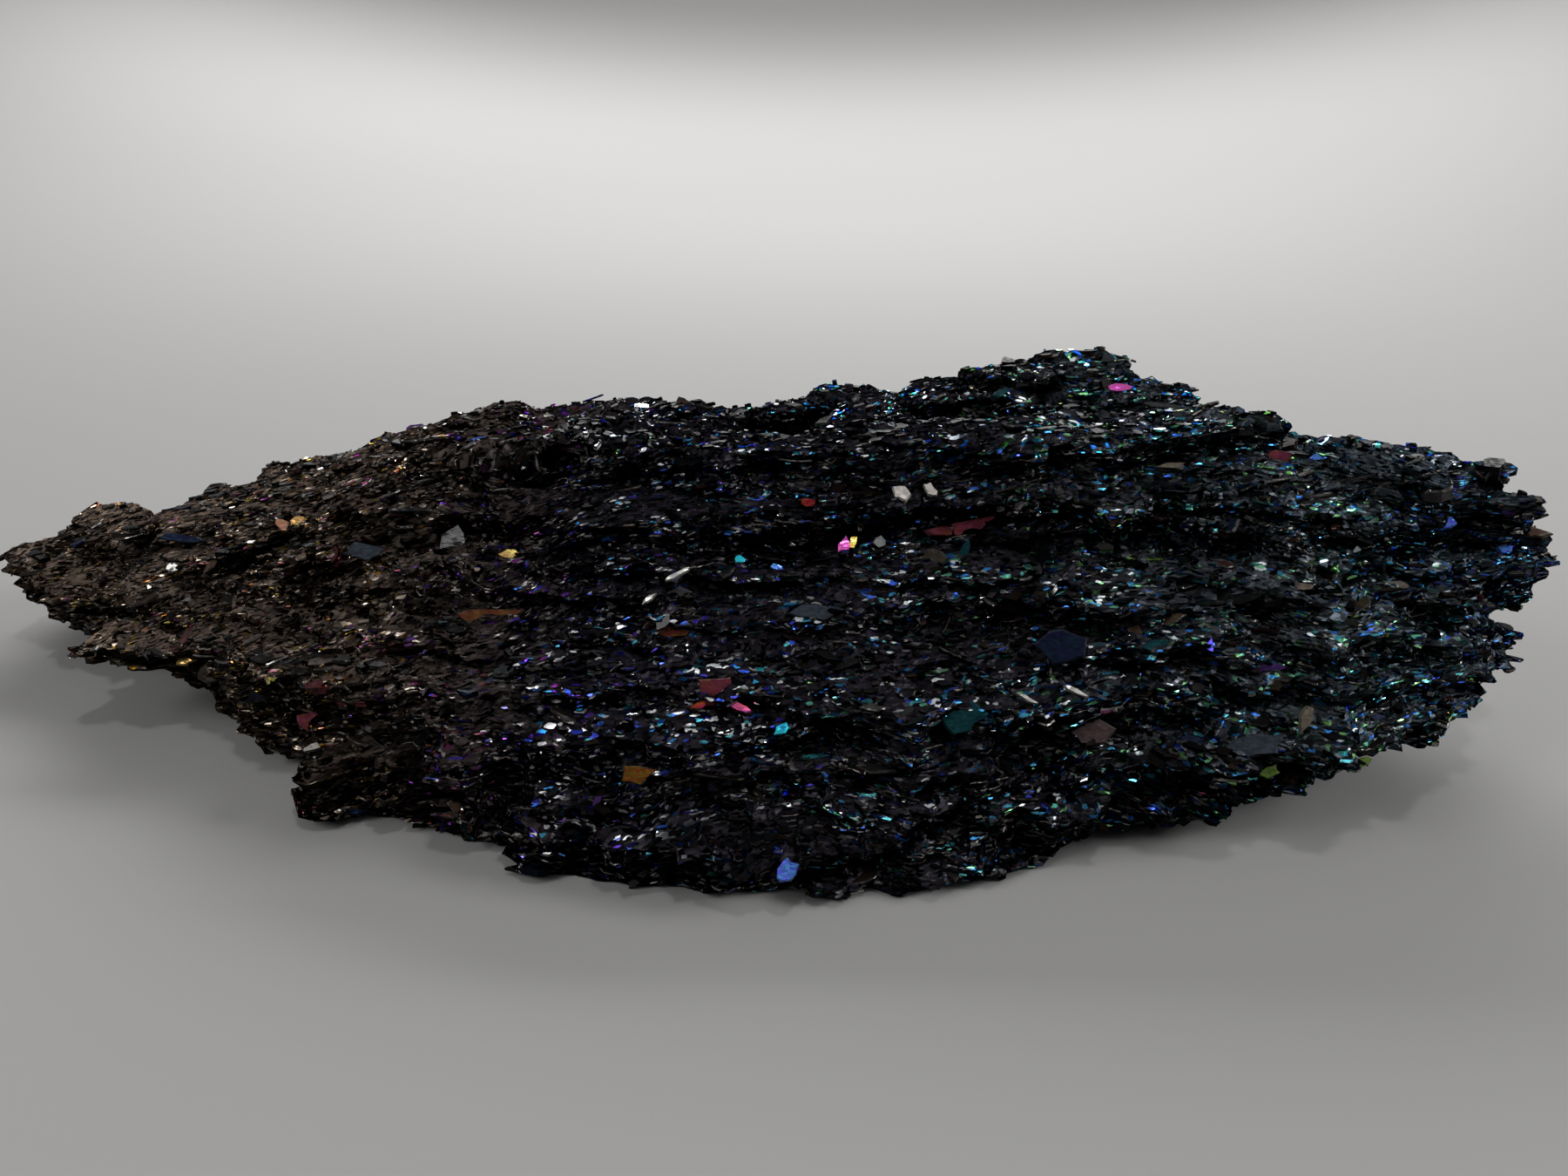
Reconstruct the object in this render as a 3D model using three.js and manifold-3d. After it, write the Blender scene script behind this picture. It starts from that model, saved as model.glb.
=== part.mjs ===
// A chunk of carborundum (silicon carbide) crystal, broken from the crust of a furnace.
//
// The chunk is one piece: thin tabular plates, grown together in layers. The layers lie close together at
// the narrow tip and spread apart towards the broad, ragged end, as a fan does. Each layer stands out or back
// from the next, so the sloping front is a flight of ledges, and plates stick out all along the rims. The
// lowest layers are broken off flat, which gives the foot that the chunk rests on; both ends clear the
// surface.
//
// Units are millimetres and +Z is up. X runs along the chunk from the tip to the ragged end, and Y from the
// front to the back. The origin is under the middle of the chunk's box, on the surface that it rests on.

import * as THREE from "three";
import { mergeVertices } from "three/addons/utils/BufferGeometryUtils.js";
import Module from "manifold-3d";

const wasm = await Module();
wasm.setup();

// ---- driving dimensions ----

const LENGTH = 100; // from the tip to the ragged end, along the layers
const DEPTH = 45; // from the front to the back, at the widest

const LAYERS = 11; // layers of intergrown plates in the whole thickness
const OVERLAP = 0.04; // how far a layer reaches down into the one below, as a share of the thickness
const LEDGE = 0.8; // how far a layer stands out or back from the mean slope, as a whole and in its waves
const JAG = 0.55; // roughness of a broken rim
const BITE = 1.5; // depth of the bites that are broken out of a rim here and there
const FRONT_STEPS = 22; // steps along the front of a rim, and along its back
const BACK_STEPS = 14;
const HEART = 0.9; // the solid heart goes this share of the way out to the rims

const LENSES = 20; // short layers that stand out of the rims
const RIM_PLATES = 78; // plates along the rims, on the top, and at the two ends
const TOP_PLATES = 20;
const END_PLATES = 18;

// Heights of the undersides of the lowest layer and of the top of the highest, as [x, z] along the chunk.
const LOWEST = [[-50, 1.5], [-30, 0], [10, -1.5], [50, -3]];
const HIGHEST = [
  [-50, 7.6], [-40, 8.9], [-30, 10.9], [-18, 13.8], [-8, 15.2],
  [24, 16.6], [32, 16.6], [41, 15.8], [50, 16],
];

// Rims of the layers, seen from above, as [x, y]. share is a layer's place in the thickness, from 0 at the
// bottom to 1 at the top. front runs from the tip to the ragged end and back returns, with y counted from the
// foremost rim.
const RIMS = [
  {
    share: 0,
    front: [[-44, 31], [-36, 25], [-27, 18], [-18, 10.4], [-6.5, 3.2], [5, 1.6], [16, 4.6], [24, 12]],
    back: [[24, 20], [18, 30], [4, 35], [-14, 36], [-30, 36], [-44, 34]],
  },
  {
    share: 0.1,
    front: [
      [-45.5, 31], [-38, 25.5], [-31, 20.6], [-21, 11.8], [-8, 3.8], [-4, 1],
      [2, 0.2], [13, 1.8], [22, 4.8], [26, 12],
    ],
    back: [[26, 20], [20, 33], [4, 39], [-14, 40], [-31, 39], [-46, 35.5]],
  },
  {
    share: 0.28,
    front: [
      [-47.5, 31], [-40, 25.4], [-31, 20.4], [-21, 11.4], [-8, 3.6], [-4, 1],
      [2, 0.2], [13, 1.6], [24, 3.2], [32, 4.6], [38, 10],
    ],
    back: [[37, 18], [31, 32], [20, 41], [4, 43], [-16, 43], [-32, 41.5], [-47.5, 37]],
  },
  {
    share: 0.45,
    front: [
      [-49, 31], [-40, 25], [-31, 19.8], [-20, 10.4], [-8, 5.6],
      [3.5, 4.5], [13, 4.8], [24, 4.8], [36, 5.8], [43, 9.6], [47.8, 15.5],
    ],
    back: [[45, 21], [37, 32], [26, 42], [6, 44.5], [-16, 44], [-32, 42.5], [-48.5, 37]],
  },
  {
    share: 0.62,
    front: [
      [-49, 31.5], [-41, 25.8], [-31, 21.4], [-20, 14], [-8, 10.6],
      [3.5, 10], [13, 9.8], [24, 8.6], [38, 8.5], [47, 12], [51.2, 17],
    ],
    back: [[48, 22], [38, 31], [29, 42], [8, 44.5], [-16, 44], [-32, 41], [-48.5, 37]],
  },
  {
    share: 0.8,
    front: [
      [-48, 32], [-40, 27], [-31, 24], [-20, 18], [-8, 15.5],
      [3.5, 15], [13, 14.5], [24, 13.2], [38, 12.5], [47, 13.6], [52, 18],
    ],
    back: [[48.5, 24], [38, 31], [31, 41], [9, 43], [-16, 42.5], [-31, 39.5], [-47, 36.5]],
  },
  {
    share: 0.92,
    front: [
      [-46, 33], [-38, 29], [-30, 26], [-20, 21], [-8, 18.5],
      [3.5, 18], [13, 17.5], [24, 16], [36, 15], [47, 14.8], [53, 18.2],
    ],
    back: [[48, 24], [38, 31], [31, 41], [9, 41], [-16, 41.5], [-30, 38.5], [-45, 36]],
  },
  {
    share: 1,
    front: [
      [-44, 34], [-36, 30], [-28, 27], [-19, 23], [-8, 20],
      [3.5, 19.5], [13, 19], [24, 17.8], [34, 16.8], [43.5, 16], [50, 18.5],
    ],
    back: [[46, 23], [38, 30], [33, 35], [28, 40.5], [10, 39.5], [-14, 40], [-28, 37], [-42, 35.5]],
  },
];

// What still stands on the highest layer: the crest above the front, the corner of the ragged end, and the
// humps at the back. Each has its outline and how far it rises above that layer.
const CRESTS = [
  {
    rise: 1.6,
    outline: [[-18, 24], [-13, 21.8], [-5, 20.8], [4, 20.4], [9, 22.5], [6, 26.5], [-4, 28], [-15, 27.5]],
  },
  { rise: 1.9, outline: [[1, 20.6], [12, 19.6], [21, 19.2], [26, 21], [23, 25], [10, 26], [3, 24]] },
  { rise: 2.2, outline: [[17, 19.6], [25, 18.4], [33, 18], [37.5, 20.5], [33, 23.5], [24, 25.5], [18, 23]] },
  { rise: 1.5, outline: [[38, 19], [40.5, 16.2], [44.5, 15.8], [48, 18], [45, 20.5], [41, 21]] },
  { rise: 0.7, outline: [[-31, 35], [-26, 34], [-20, 35], [-13, 37], [-14, 40], [-24, 39.5]] },
  { rise: 1.1, outline: [[8, 37.5], [10, 35.5], [13.6, 35], [14, 39], [9.5, 40]] },
  {
    rise: 1.3,
    outline: [[15.5, 37], [19, 34], [28, 32.5], [35.5, 31.5], [33.5, 36.5], [29.5, 39.5], [23, 41], [16.5, 40]],
  },
  { rise: 2.4, outline: [[20, 38], [24, 34.8], [31.5, 33.6], [31.5, 38.5], [24, 40.5]] },
  { rise: 3.2, outline: [[25, 37.5], [28.5, 35.6], [30.5, 37], [28.5, 39.8]] },
];

// Blocks with flat faces that stand out low on the front. Each has its middle and its size along X, Y and Z.
const BLOCKS = [
  { middle: [-16, 9.8, 1.9], size: [5.6, 6.8, 3.6] },
  { middle: [-3.4, 4.4, 1.4], size: [7.4, 6.5, 2.6] },
  { middle: [-33.5, 20.5, 4.2], size: [6.5, 6.5, 1.6] },
];

// ---- chance, the same on every run ----

let seed = 20731;
function chance() {
  seed = (seed + 0x6d2b79f5) | 0;
  let t = Math.imul(seed ^ (seed >>> 15), 1 | seed);
  t = (t + Math.imul(t ^ (t >>> 7), 61 | t)) ^ t;
  return ((t ^ (t >>> 14)) >>> 0) / 4294967296;
}
const between = (low, high) => low + (high - low) * chance();
const spread = (most) => between(-most, most);

// ---- the layers' heights ----

// The value at x of a line through [x, value] points.
function along(points, x) {
  const last = points.length - 1;
  let i = 1;
  while (i < last && x > points[i][0]) i++;
  const [x0, v0] = points[i - 1];
  const [x1, v1] = points[i];
  return THREE.MathUtils.mapLinear(THREE.MathUtils.clamp(x, points[0][0], points[last][0]), x0, x1, v0, v1);
}

const heightAt = (x, share) => THREE.MathUtils.lerp(along(LOWEST, x), along(HIGHEST, x), share);

// How steeply a layer climbs along X, as an angle.
function dipAt(x, share) {
  const step = 4;
  return Math.atan2(heightAt(x + step, share) - heightAt(x - step, share), 2 * step);
}

// ---- the layers' rims ----

const vectors = (points) => points.map(([x, y]) => new THREE.Vector2(x, y));

for (const rim of RIMS) {
  rim.points = [
    ...new THREE.SplineCurve(vectors(rim.front)).getSpacedPoints(FRONT_STEPS),
    ...new THREE.SplineCurve(vectors(rim.back)).getSpacedPoints(BACK_STEPS),
  ];
}

// The smooth rim at any share of the thickness, blended from the two stated rims on either side of it.
function rimAt(share) {
  let i = 1;
  while (i < RIMS.length - 1 && share > RIMS[i].share) i++;
  const [below, above] = [RIMS[i - 1], RIMS[i]];
  const t = (share - below.share) / (above.share - below.share);
  return below.points.map((p, k) => p.clone().lerp(above.points[k], t));
}

// The outward direction of a closed outline at point k, which runs with the front first.
function outward(outline, k) {
  const before = outline.at(k - 1);
  const after = outline[(k + 1) % outline.length];
  return new THREE.Vector2(after.y - before.y, before.x - after.x).normalize();
}

// A broken rim: the layer as a whole stands out or back in slow waves, each point is jagged by itself, and a
// sixth of them are bitten back.
function brokenRim(share) {
  const rim = rimAt(share);
  const [waves, phase, stand] = [Math.round(between(2, 5)), between(0, 2 * Math.PI), spread(LEDGE)];
  return rim.map((p, k) => {
    const wave = Math.sin((2 * Math.PI * waves * k) / rim.length + phase);
    const bite = chance() < 1 / 6 ? BITE : 0;
    const out = stand + LEDGE * wave + spread(JAG) - bite;
    return p.clone().addScaledVector(outward(rim, k), out);
  });
}

// ---- solids ----

function solidOf(geometry) {
  geometry.deleteAttribute("normal");
  geometry.deleteAttribute("uv");
  const merged = mergeVertices(geometry, 1e-4);
  return new wasm.Manifold(
    new wasm.Mesh({
      numProp: 3,
      vertProperties: merged.getAttribute("position").array,
      triVerts: new Uint32Array(merged.index.array),
    }),
  );
}

// A slab of the given outline between two surfaces: low and high give the height of each at x.
function slab(outline, low, high) {
  const geometry = new THREE.ExtrudeGeometry(new THREE.Shape(outline), { depth: 1, bevelEnabled: false });
  const place = geometry.getAttribute("position");
  for (let i = 0; i < place.count; i++) {
    const surface = place.getZ(i) < 0.5 ? low : high;
    place.setZ(i, surface(place.getX(i)));
  }
  return solidOf(geometry);
}

// A tabular crystal: a six-sided plate with unequal corners, stretched along its length. turn is about the
// upright, dip is how steeply it climbs along X, and lean how steeply it climbs along Y.
function plate({ at, radius, stretch, thickness, turn, dip, lean }) {
  const corners = [];
  for (let k = 0; k < 6; k++) {
    const angle = (Math.PI / 3) * k + spread(0.16);
    const reach = radius * between(0.78, 1.08);
    corners.push(new THREE.Vector2(reach * stretch * Math.cos(angle), reach * Math.sin(angle)));
  }
  const form = { depth: thickness, bevelEnabled: false };
  const geometry = new THREE.ExtrudeGeometry(new THREE.Shape(corners), form);
  geometry.translate(0, 0, -thickness / 2);
  geometry.rotateZ(turn);
  geometry.rotateX(lean);
  geometry.rotateY(-dip);
  geometry.translate(at.x, at.y, at.z);
  return solidOf(geometry);
}

// ---- the chunk's pieces ----

// The layers, one on another, of unequal thickness.
function layers() {
  const tops = [];
  for (let k = 0; k < LAYERS; k++) tops.push((tops.at(-1) ?? 0) + between(0.6, 1.4));
  return tops.map((top, k) => {
    const low = (tops[k - 1] ?? 0) / tops.at(-1);
    const high = top / tops.at(-1);
    const under = Math.max(0, low - OVERLAP);
    return slab(brokenRim((low + high) / 2), (x) => heightAt(x, under), (x) => heightAt(x, high));
  });
}

// Lenses: short, thin layers that stand out of the rim for a stretch and draw back at both of their ends.
function lenses() {
  return Array.from({ length: LENSES }, () => {
    const share = between(0.06, 0.95);
    const rim = rimAt(share);
    const steps = Math.round(between(4, 8));
    const first = Math.floor(between(1, rim.length - steps - 1));
    const half = between(0.25, 0.55);
    const climb = spread(0.06);
    const outer = [];
    const inner = [];
    for (let i = 0; i <= steps; i++) {
      const k = first + i;
      const out = outward(rim, k);
      const swell = Math.sin((Math.PI * i) / steps);
      outer.push(rim[k].clone().addScaledVector(out, -0.6 + 2.4 * swell + spread(JAG)));
      inner.push(rim[k].clone().addScaledVector(out, -3.2));
    }
    const middle = rim[first + Math.round(steps / 2)].x;
    const height = (x) => heightAt(x, share) + climb * (x - middle);
    return slab([...outer, ...inner.reverse()], (x) => height(x) - half, (x) => height(x) + half);
  });
}

// The heart of the chunk, a little inside the rims, so that no gap is left between two layers.
function heart() {
  const middle = new THREE.Vector2(0, DEPTH / 2);
  const steps = [0, 0.15, 0.4, 0.6, 0.8, 0.97];
  return steps.slice(1).map((high, k) => {
    const rim = rimAt((steps[k] + high) / 2).filter((_, i) => i % 2 === 0);
    const inset = rim.map((p) => p.clone().sub(middle).multiplyScalar(HEART).add(middle));
    return slab(inset, (x) => heightAt(x, Math.max(0, steps[k] - 0.08)), (x) => heightAt(x, high));
  });
}

function crests() {
  return CRESTS.map(({ rise, outline }) => {
    const rim = vectors(outline).map((p) => new THREE.Vector2(p.x + spread(0.4), p.y + spread(0.4)));
    return slab(rim, (x) => heightAt(x, 0.9), (x) => heightAt(x, 1) + rise);
  });
}

function blocks() {
  return BLOCKS.map(({ middle, size }) => {
    const geometry = new THREE.BoxGeometry(...size);
    geometry.rotateZ(spread(0.12));
    geometry.rotateX(spread(0.06));
    geometry.translate(...middle);
    return solidOf(geometry);
  });
}

// Plates that stick out of the rims, in the plane of their layer.
function rimPlates() {
  return Array.from({ length: RIM_PLATES }, () => {
    const share = between(0.06, 0.99);
    const rim = rimAt(share);
    const k = Math.floor(chance() * rim.length);
    const out = outward(rim, k);
    const radius = between(1.5, 3.6);
    const place = rim[k].clone().addScaledVector(out, between(-0.75, -0.1) * radius);
    return plate({
      at: new THREE.Vector3(place.x, place.y, heightAt(place.x, share)),
      radius,
      stretch: between(1, 1.6),
      thickness: between(0.45, 1.1),
      turn: Math.atan2(out.x, -out.y) + spread(0.7),
      dip: dipAt(place.x, share) + spread(0.13),
      lean: spread(0.22),
    });
  });
}

// Plates that lie on the top, each tipped its own way.
function topPlates() {
  return Array.from({ length: TOP_PLATES }, () => {
    const rim = rimAt(0.97);
    const k = Math.floor(chance() * FRONT_STEPS);
    const across = rim[rim.length - 1 - Math.floor((k * BACK_STEPS) / FRONT_STEPS)];
    const place = rim[k].clone().lerp(across, between(0.1, 0.9));
    return plate({
      at: new THREE.Vector3(place.x, place.y, heightAt(place.x, 1) + between(-0.2, 0.5)),
      radius: between(1.8, 3.6),
      stretch: between(1, 1.7),
      thickness: between(0.5, 1),
      turn: spread(Math.PI / 2),
      dip: dipAt(place.x, 1) + spread(0.3),
      lean: spread(0.3),
    });
  });
}

// Blades that run out of the two ends, along X: most at the ragged end, a few at the tip.
function endPlates() {
  return Array.from({ length: END_PLATES }, (_, i) => {
    const atTip = i % 4 === 0;
    const share = atTip ? between(0.1, 0.9) : between(0.34, 0.95);
    const rim = rimAt(share);
    const k = atTip ? -Math.floor(between(0, 2)) : FRONT_STEPS + Math.floor(between(-4, 3));
    const radius = between(1, 1.8);
    const place = rim.at(k).clone();
    place.x += (atTip ? 1 : -1) * between(0.6, 2);
    return plate({
      at: new THREE.Vector3(place.x, place.y, heightAt(place.x, share)),
      radius,
      stretch: between(1.7, 2.6),
      thickness: between(0.4, 0.9),
      turn: spread(0.25),
      dip: dipAt(place.x, share) + spread(0.1),
      lean: spread(0.25),
    });
  });
}

// ---- the whole chunk ----

// All the room above the plane of the foot.
function aboveFoot() {
  const geometry = new THREE.BoxGeometry(2 * LENGTH, 2 * LENGTH, LENGTH);
  geometry.translate(0, DEPTH / 2, LENGTH / 2);
  return solidOf(geometry);
}

function grownTogether() {
  const beds = [...heart(), ...layers(), ...lenses(), ...crests(), ...blocks()];
  const pieces = [...beds, ...rimPlates(), ...topPlates(), ...endPlates()];
  const joined = pieces.reduce((whole, piece) => whole.add(piece)).intersect(aboveFoot());
  // The largest body alone: splinters that stand clear of it, and pockets closed inside it, are left out.
  return joined.decompose().reduce((a, b) => (b.volume() > a.volume() ? b : a));
}

function geometryOf(solid) {
  const { numProp, vertProperties, triVerts } = solid.getMesh();
  const place = new Float32Array((vertProperties.length / numProp) * 3);
  for (let i = 0; i < place.length; i++) place[i] = vertProperties[Math.floor(i / 3) * numProp + (i % 3)];
  return new THREE.BufferGeometry()
    .setAttribute("position", new THREE.BufferAttribute(place, 3))
    .setIndex(new THREE.BufferAttribute(triVerts, 1));
}

const geometry = geometryOf(grownTogether());
geometry.computeBoundingBox();
const box = geometry.boundingBox;
geometry.translate(-(box.min.x + box.max.x) / 2, -(box.min.y + box.max.y) / 2, -box.min.z);
geometry.computeVertexNormals();

const siliconCarbide = new THREE.MeshStandardMaterial({
  color: 0x1b1b22,
  roughness: 0.35,
  metalness: 0.6,
  flatShading: true,
});

const crystal = new THREE.Mesh(geometry, siliconCarbide);
crystal.name = "carborundum_crystal";

const chunk = new THREE.Group();
chunk.add(crystal);

export default chunk;
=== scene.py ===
"""A chunk of carborundum crystal: a dark crust, dressed with the tabular crystals that it is grown from.

The frame's solid gives the chunk its form. The crust is that form, crumbled into ragged layers and fitted
to the chunk's outline. Thin plates and splinters of silicon carbide are grown all over it, lying in the
layers, which fan out from the narrow tip. A clean plate carries a film of oxide, and the thickness of that
film gives its colour: gold at the tip, violet to blue in the middle, blue and green at the ragged end. A
tarnished plate is dull brown, grey, maroon, navy or teal, and the sides of some are pale, as broken sides
are and as a painted highlight of the rim catching the light.
"""

import math
from typing import NamedTuple

import bmesh
import bpy
import numpy as np
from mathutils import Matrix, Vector
from mathutils.bvhtree import BVHTree


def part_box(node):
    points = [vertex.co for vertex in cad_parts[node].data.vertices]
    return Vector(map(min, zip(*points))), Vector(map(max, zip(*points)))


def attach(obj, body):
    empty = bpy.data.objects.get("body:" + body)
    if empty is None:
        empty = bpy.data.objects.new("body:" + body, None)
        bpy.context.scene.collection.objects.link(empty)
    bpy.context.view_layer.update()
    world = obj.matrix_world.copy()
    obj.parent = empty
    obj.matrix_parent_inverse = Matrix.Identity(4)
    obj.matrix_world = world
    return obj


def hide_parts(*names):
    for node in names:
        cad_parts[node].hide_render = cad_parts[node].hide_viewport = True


bl_info = {
    "name": "Carborundum Crystal",
    "version": (1, 0, 0),
    "blender": (4, 5, 0),
    "location": "3D View > Sidebar > Carborundum",
    "description": "Grows the plates of a carborundum chunk on its solid, and sets up a plain stage",
    "category": "Object",
}

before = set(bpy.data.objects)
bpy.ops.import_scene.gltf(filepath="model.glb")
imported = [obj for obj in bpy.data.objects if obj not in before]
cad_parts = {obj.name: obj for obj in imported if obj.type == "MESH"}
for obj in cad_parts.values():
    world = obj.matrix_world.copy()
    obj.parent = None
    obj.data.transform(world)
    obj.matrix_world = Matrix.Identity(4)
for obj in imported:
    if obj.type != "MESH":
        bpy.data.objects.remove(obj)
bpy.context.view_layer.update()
CHUNK = "carborundum_crystal"
LOW, HIGH = (np.array(corner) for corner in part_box(CHUNK))
MM = 0.001
CLEARANCE = 0.03 * MM  # plates stay this far above what the chunk rests on
FOOT_FADE = 0.8 * MM  # the crust is flat at its foot, and crumbled in full from this height on
LAYERS = 18  # at every station along the chunk, thinner towards the tip
OXIDE_INDEX, CARBIDE_INDEX = 1.46, 2.65  # how strongly each bends light
UPWARD_POWER = 1.5  # how sharply what looks up takes its painted light: the crust turns dull and the plates darker
STATIONS, NEAR = 24, 3 * MM  # where the height of the solid is read along the chunk, and how far round each
FOOT = 0.2 * MM  # the crust that faces down and lies below this is the foot
FEWER_BEHIND, FEWER_BELOW = 0.35, 0.45  # share of the plates that the back and the underside lack
FAR_LEANING, FAR_LEAN, NEAR_LEAN = 0.22, 0.5, 0.13  # share that leans far off the layers, and the leans
FILM_VARY = 17  # how much the films differ from plate to plate, in nanometres
FILM_MOST, SILVER_MOST = 0.8, 0.9  # the most light that a plate sends back
SILVER_SHINE = 0.45  # shine of a silvery plate, as a share of that of a film
DULL_ROUGHNESS, CLEAN_ROUGHNESS, SIDE_ROUGHNESS = (0.4, 0.7), (0.05, 0.22), 0.25  # of faces and sides
DULL_METAL, PALE_LIT_METAL = 0.2, 0.6  # how metallic a tarnished face and a pale side are; a pale side is broken, and a painted highlight of its rim
DULL_GRAIN, CLEAN_GRAIN, SIDE_GRAIN = 0.25, 0.08, 0.8  # how strong the grain is
PALE_LIT_SIDES, PALE_LIT_TINT = (0.02, 0.2), (1, 0.95, 0.9)  # brightness and tint of the pale sides: broken sides, and a painted highlight of the rim catching the light
STAIN_SIZE = MM / 2.4  # how far apart the stains on the plates are
GLINTING = 0.72  # cells whose chance is above this glint
BRIGHTEST = 0.75  # and this is the most light that they send back
PALE_LIT_LINE = (0.1, 0.09, 0.082, 1)  # colour of the pale lines on the crust: the broken edges of the thinnest layers, and a painted highlight of those edges catching the light
CRUST_TINT = (0.1, 0.12, 0.18, 1)  # colour of the shine of the crust seen at a slant

# Places along the chunk for values that change from the tip to the ragged end: the tip, past it, the middle,
# the shoulder, towards the end, and the end. Each of the rows below gives the values at those places.
ZONES = np.array([-50, -20, -6, 18, 36, 51]) * MM
SHINE = np.array([0.42, 0.6, 1.1, 1.6, 2.4, 2.5])  # strength of the glints
SILVER = [0.68, 0.6, 0.55, 0.36, 0.2, 0.12]  # share of the clean plates that have no film
SILVER_COLOURS = (
    (1, 0.78, 0.56),
    (1, 0.84, 0.68),
    (0.96, 0.97, 1),
    (0.92, 0.98, 1),
    (0.85, 0.97, 1),
    (0.8, 0.9, 1),
)
SIZES = (1.35, 1.15, 0.7, 0.8, 1.1, 1.15)  # of the plates, as a share of their typical size
CLEAN_SIZES = (0.8, 0.7, 0.55, 0.7, 0.95, 1)  # of a clean plate, as a share of the size of the others
TARNISH_LEVELS = (0.8, 0.7, 0.2, 0.28, 0.55, 0.6)  # brightness of the tarnished plates
TOP_CLIMB = (0.22, 0.16, 0.05, 0.12, 0.2, 0.2)  # slope of the layers on top, up and away from the tip
FOOT_CLIMB = (-0.3, -0.22, -0.08, -0.04, -0.1, -0.12)  # slope of the layers at the foot

# Colours of tarnished plates, and the share of each colour at each zone.
TARNISH = {
    "brown": ((0.1, 0.063, 0.041), (0.46, 0.46, 0.3, 0.3, 0.34, 0.36)),
    "grey": ((0.065, 0.06, 0.058), (0.48, 0.38, 0.24, 0.22, 0.26, 0.3)),
    "maroon": ((0.1, 0.02, 0.024), (0.03, 0.1, 0.22, 0.08, 0.04, 0.04)),
    "navy": ((0.016, 0.028, 0.07), (0.03, 0.06, 0.18, 0.22, 0.18, 0.16)),
    "teal": ((0.01, 0.055, 0.062), (0, 0, 0.06, 0.18, 0.18, 0.14)),
}

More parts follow.
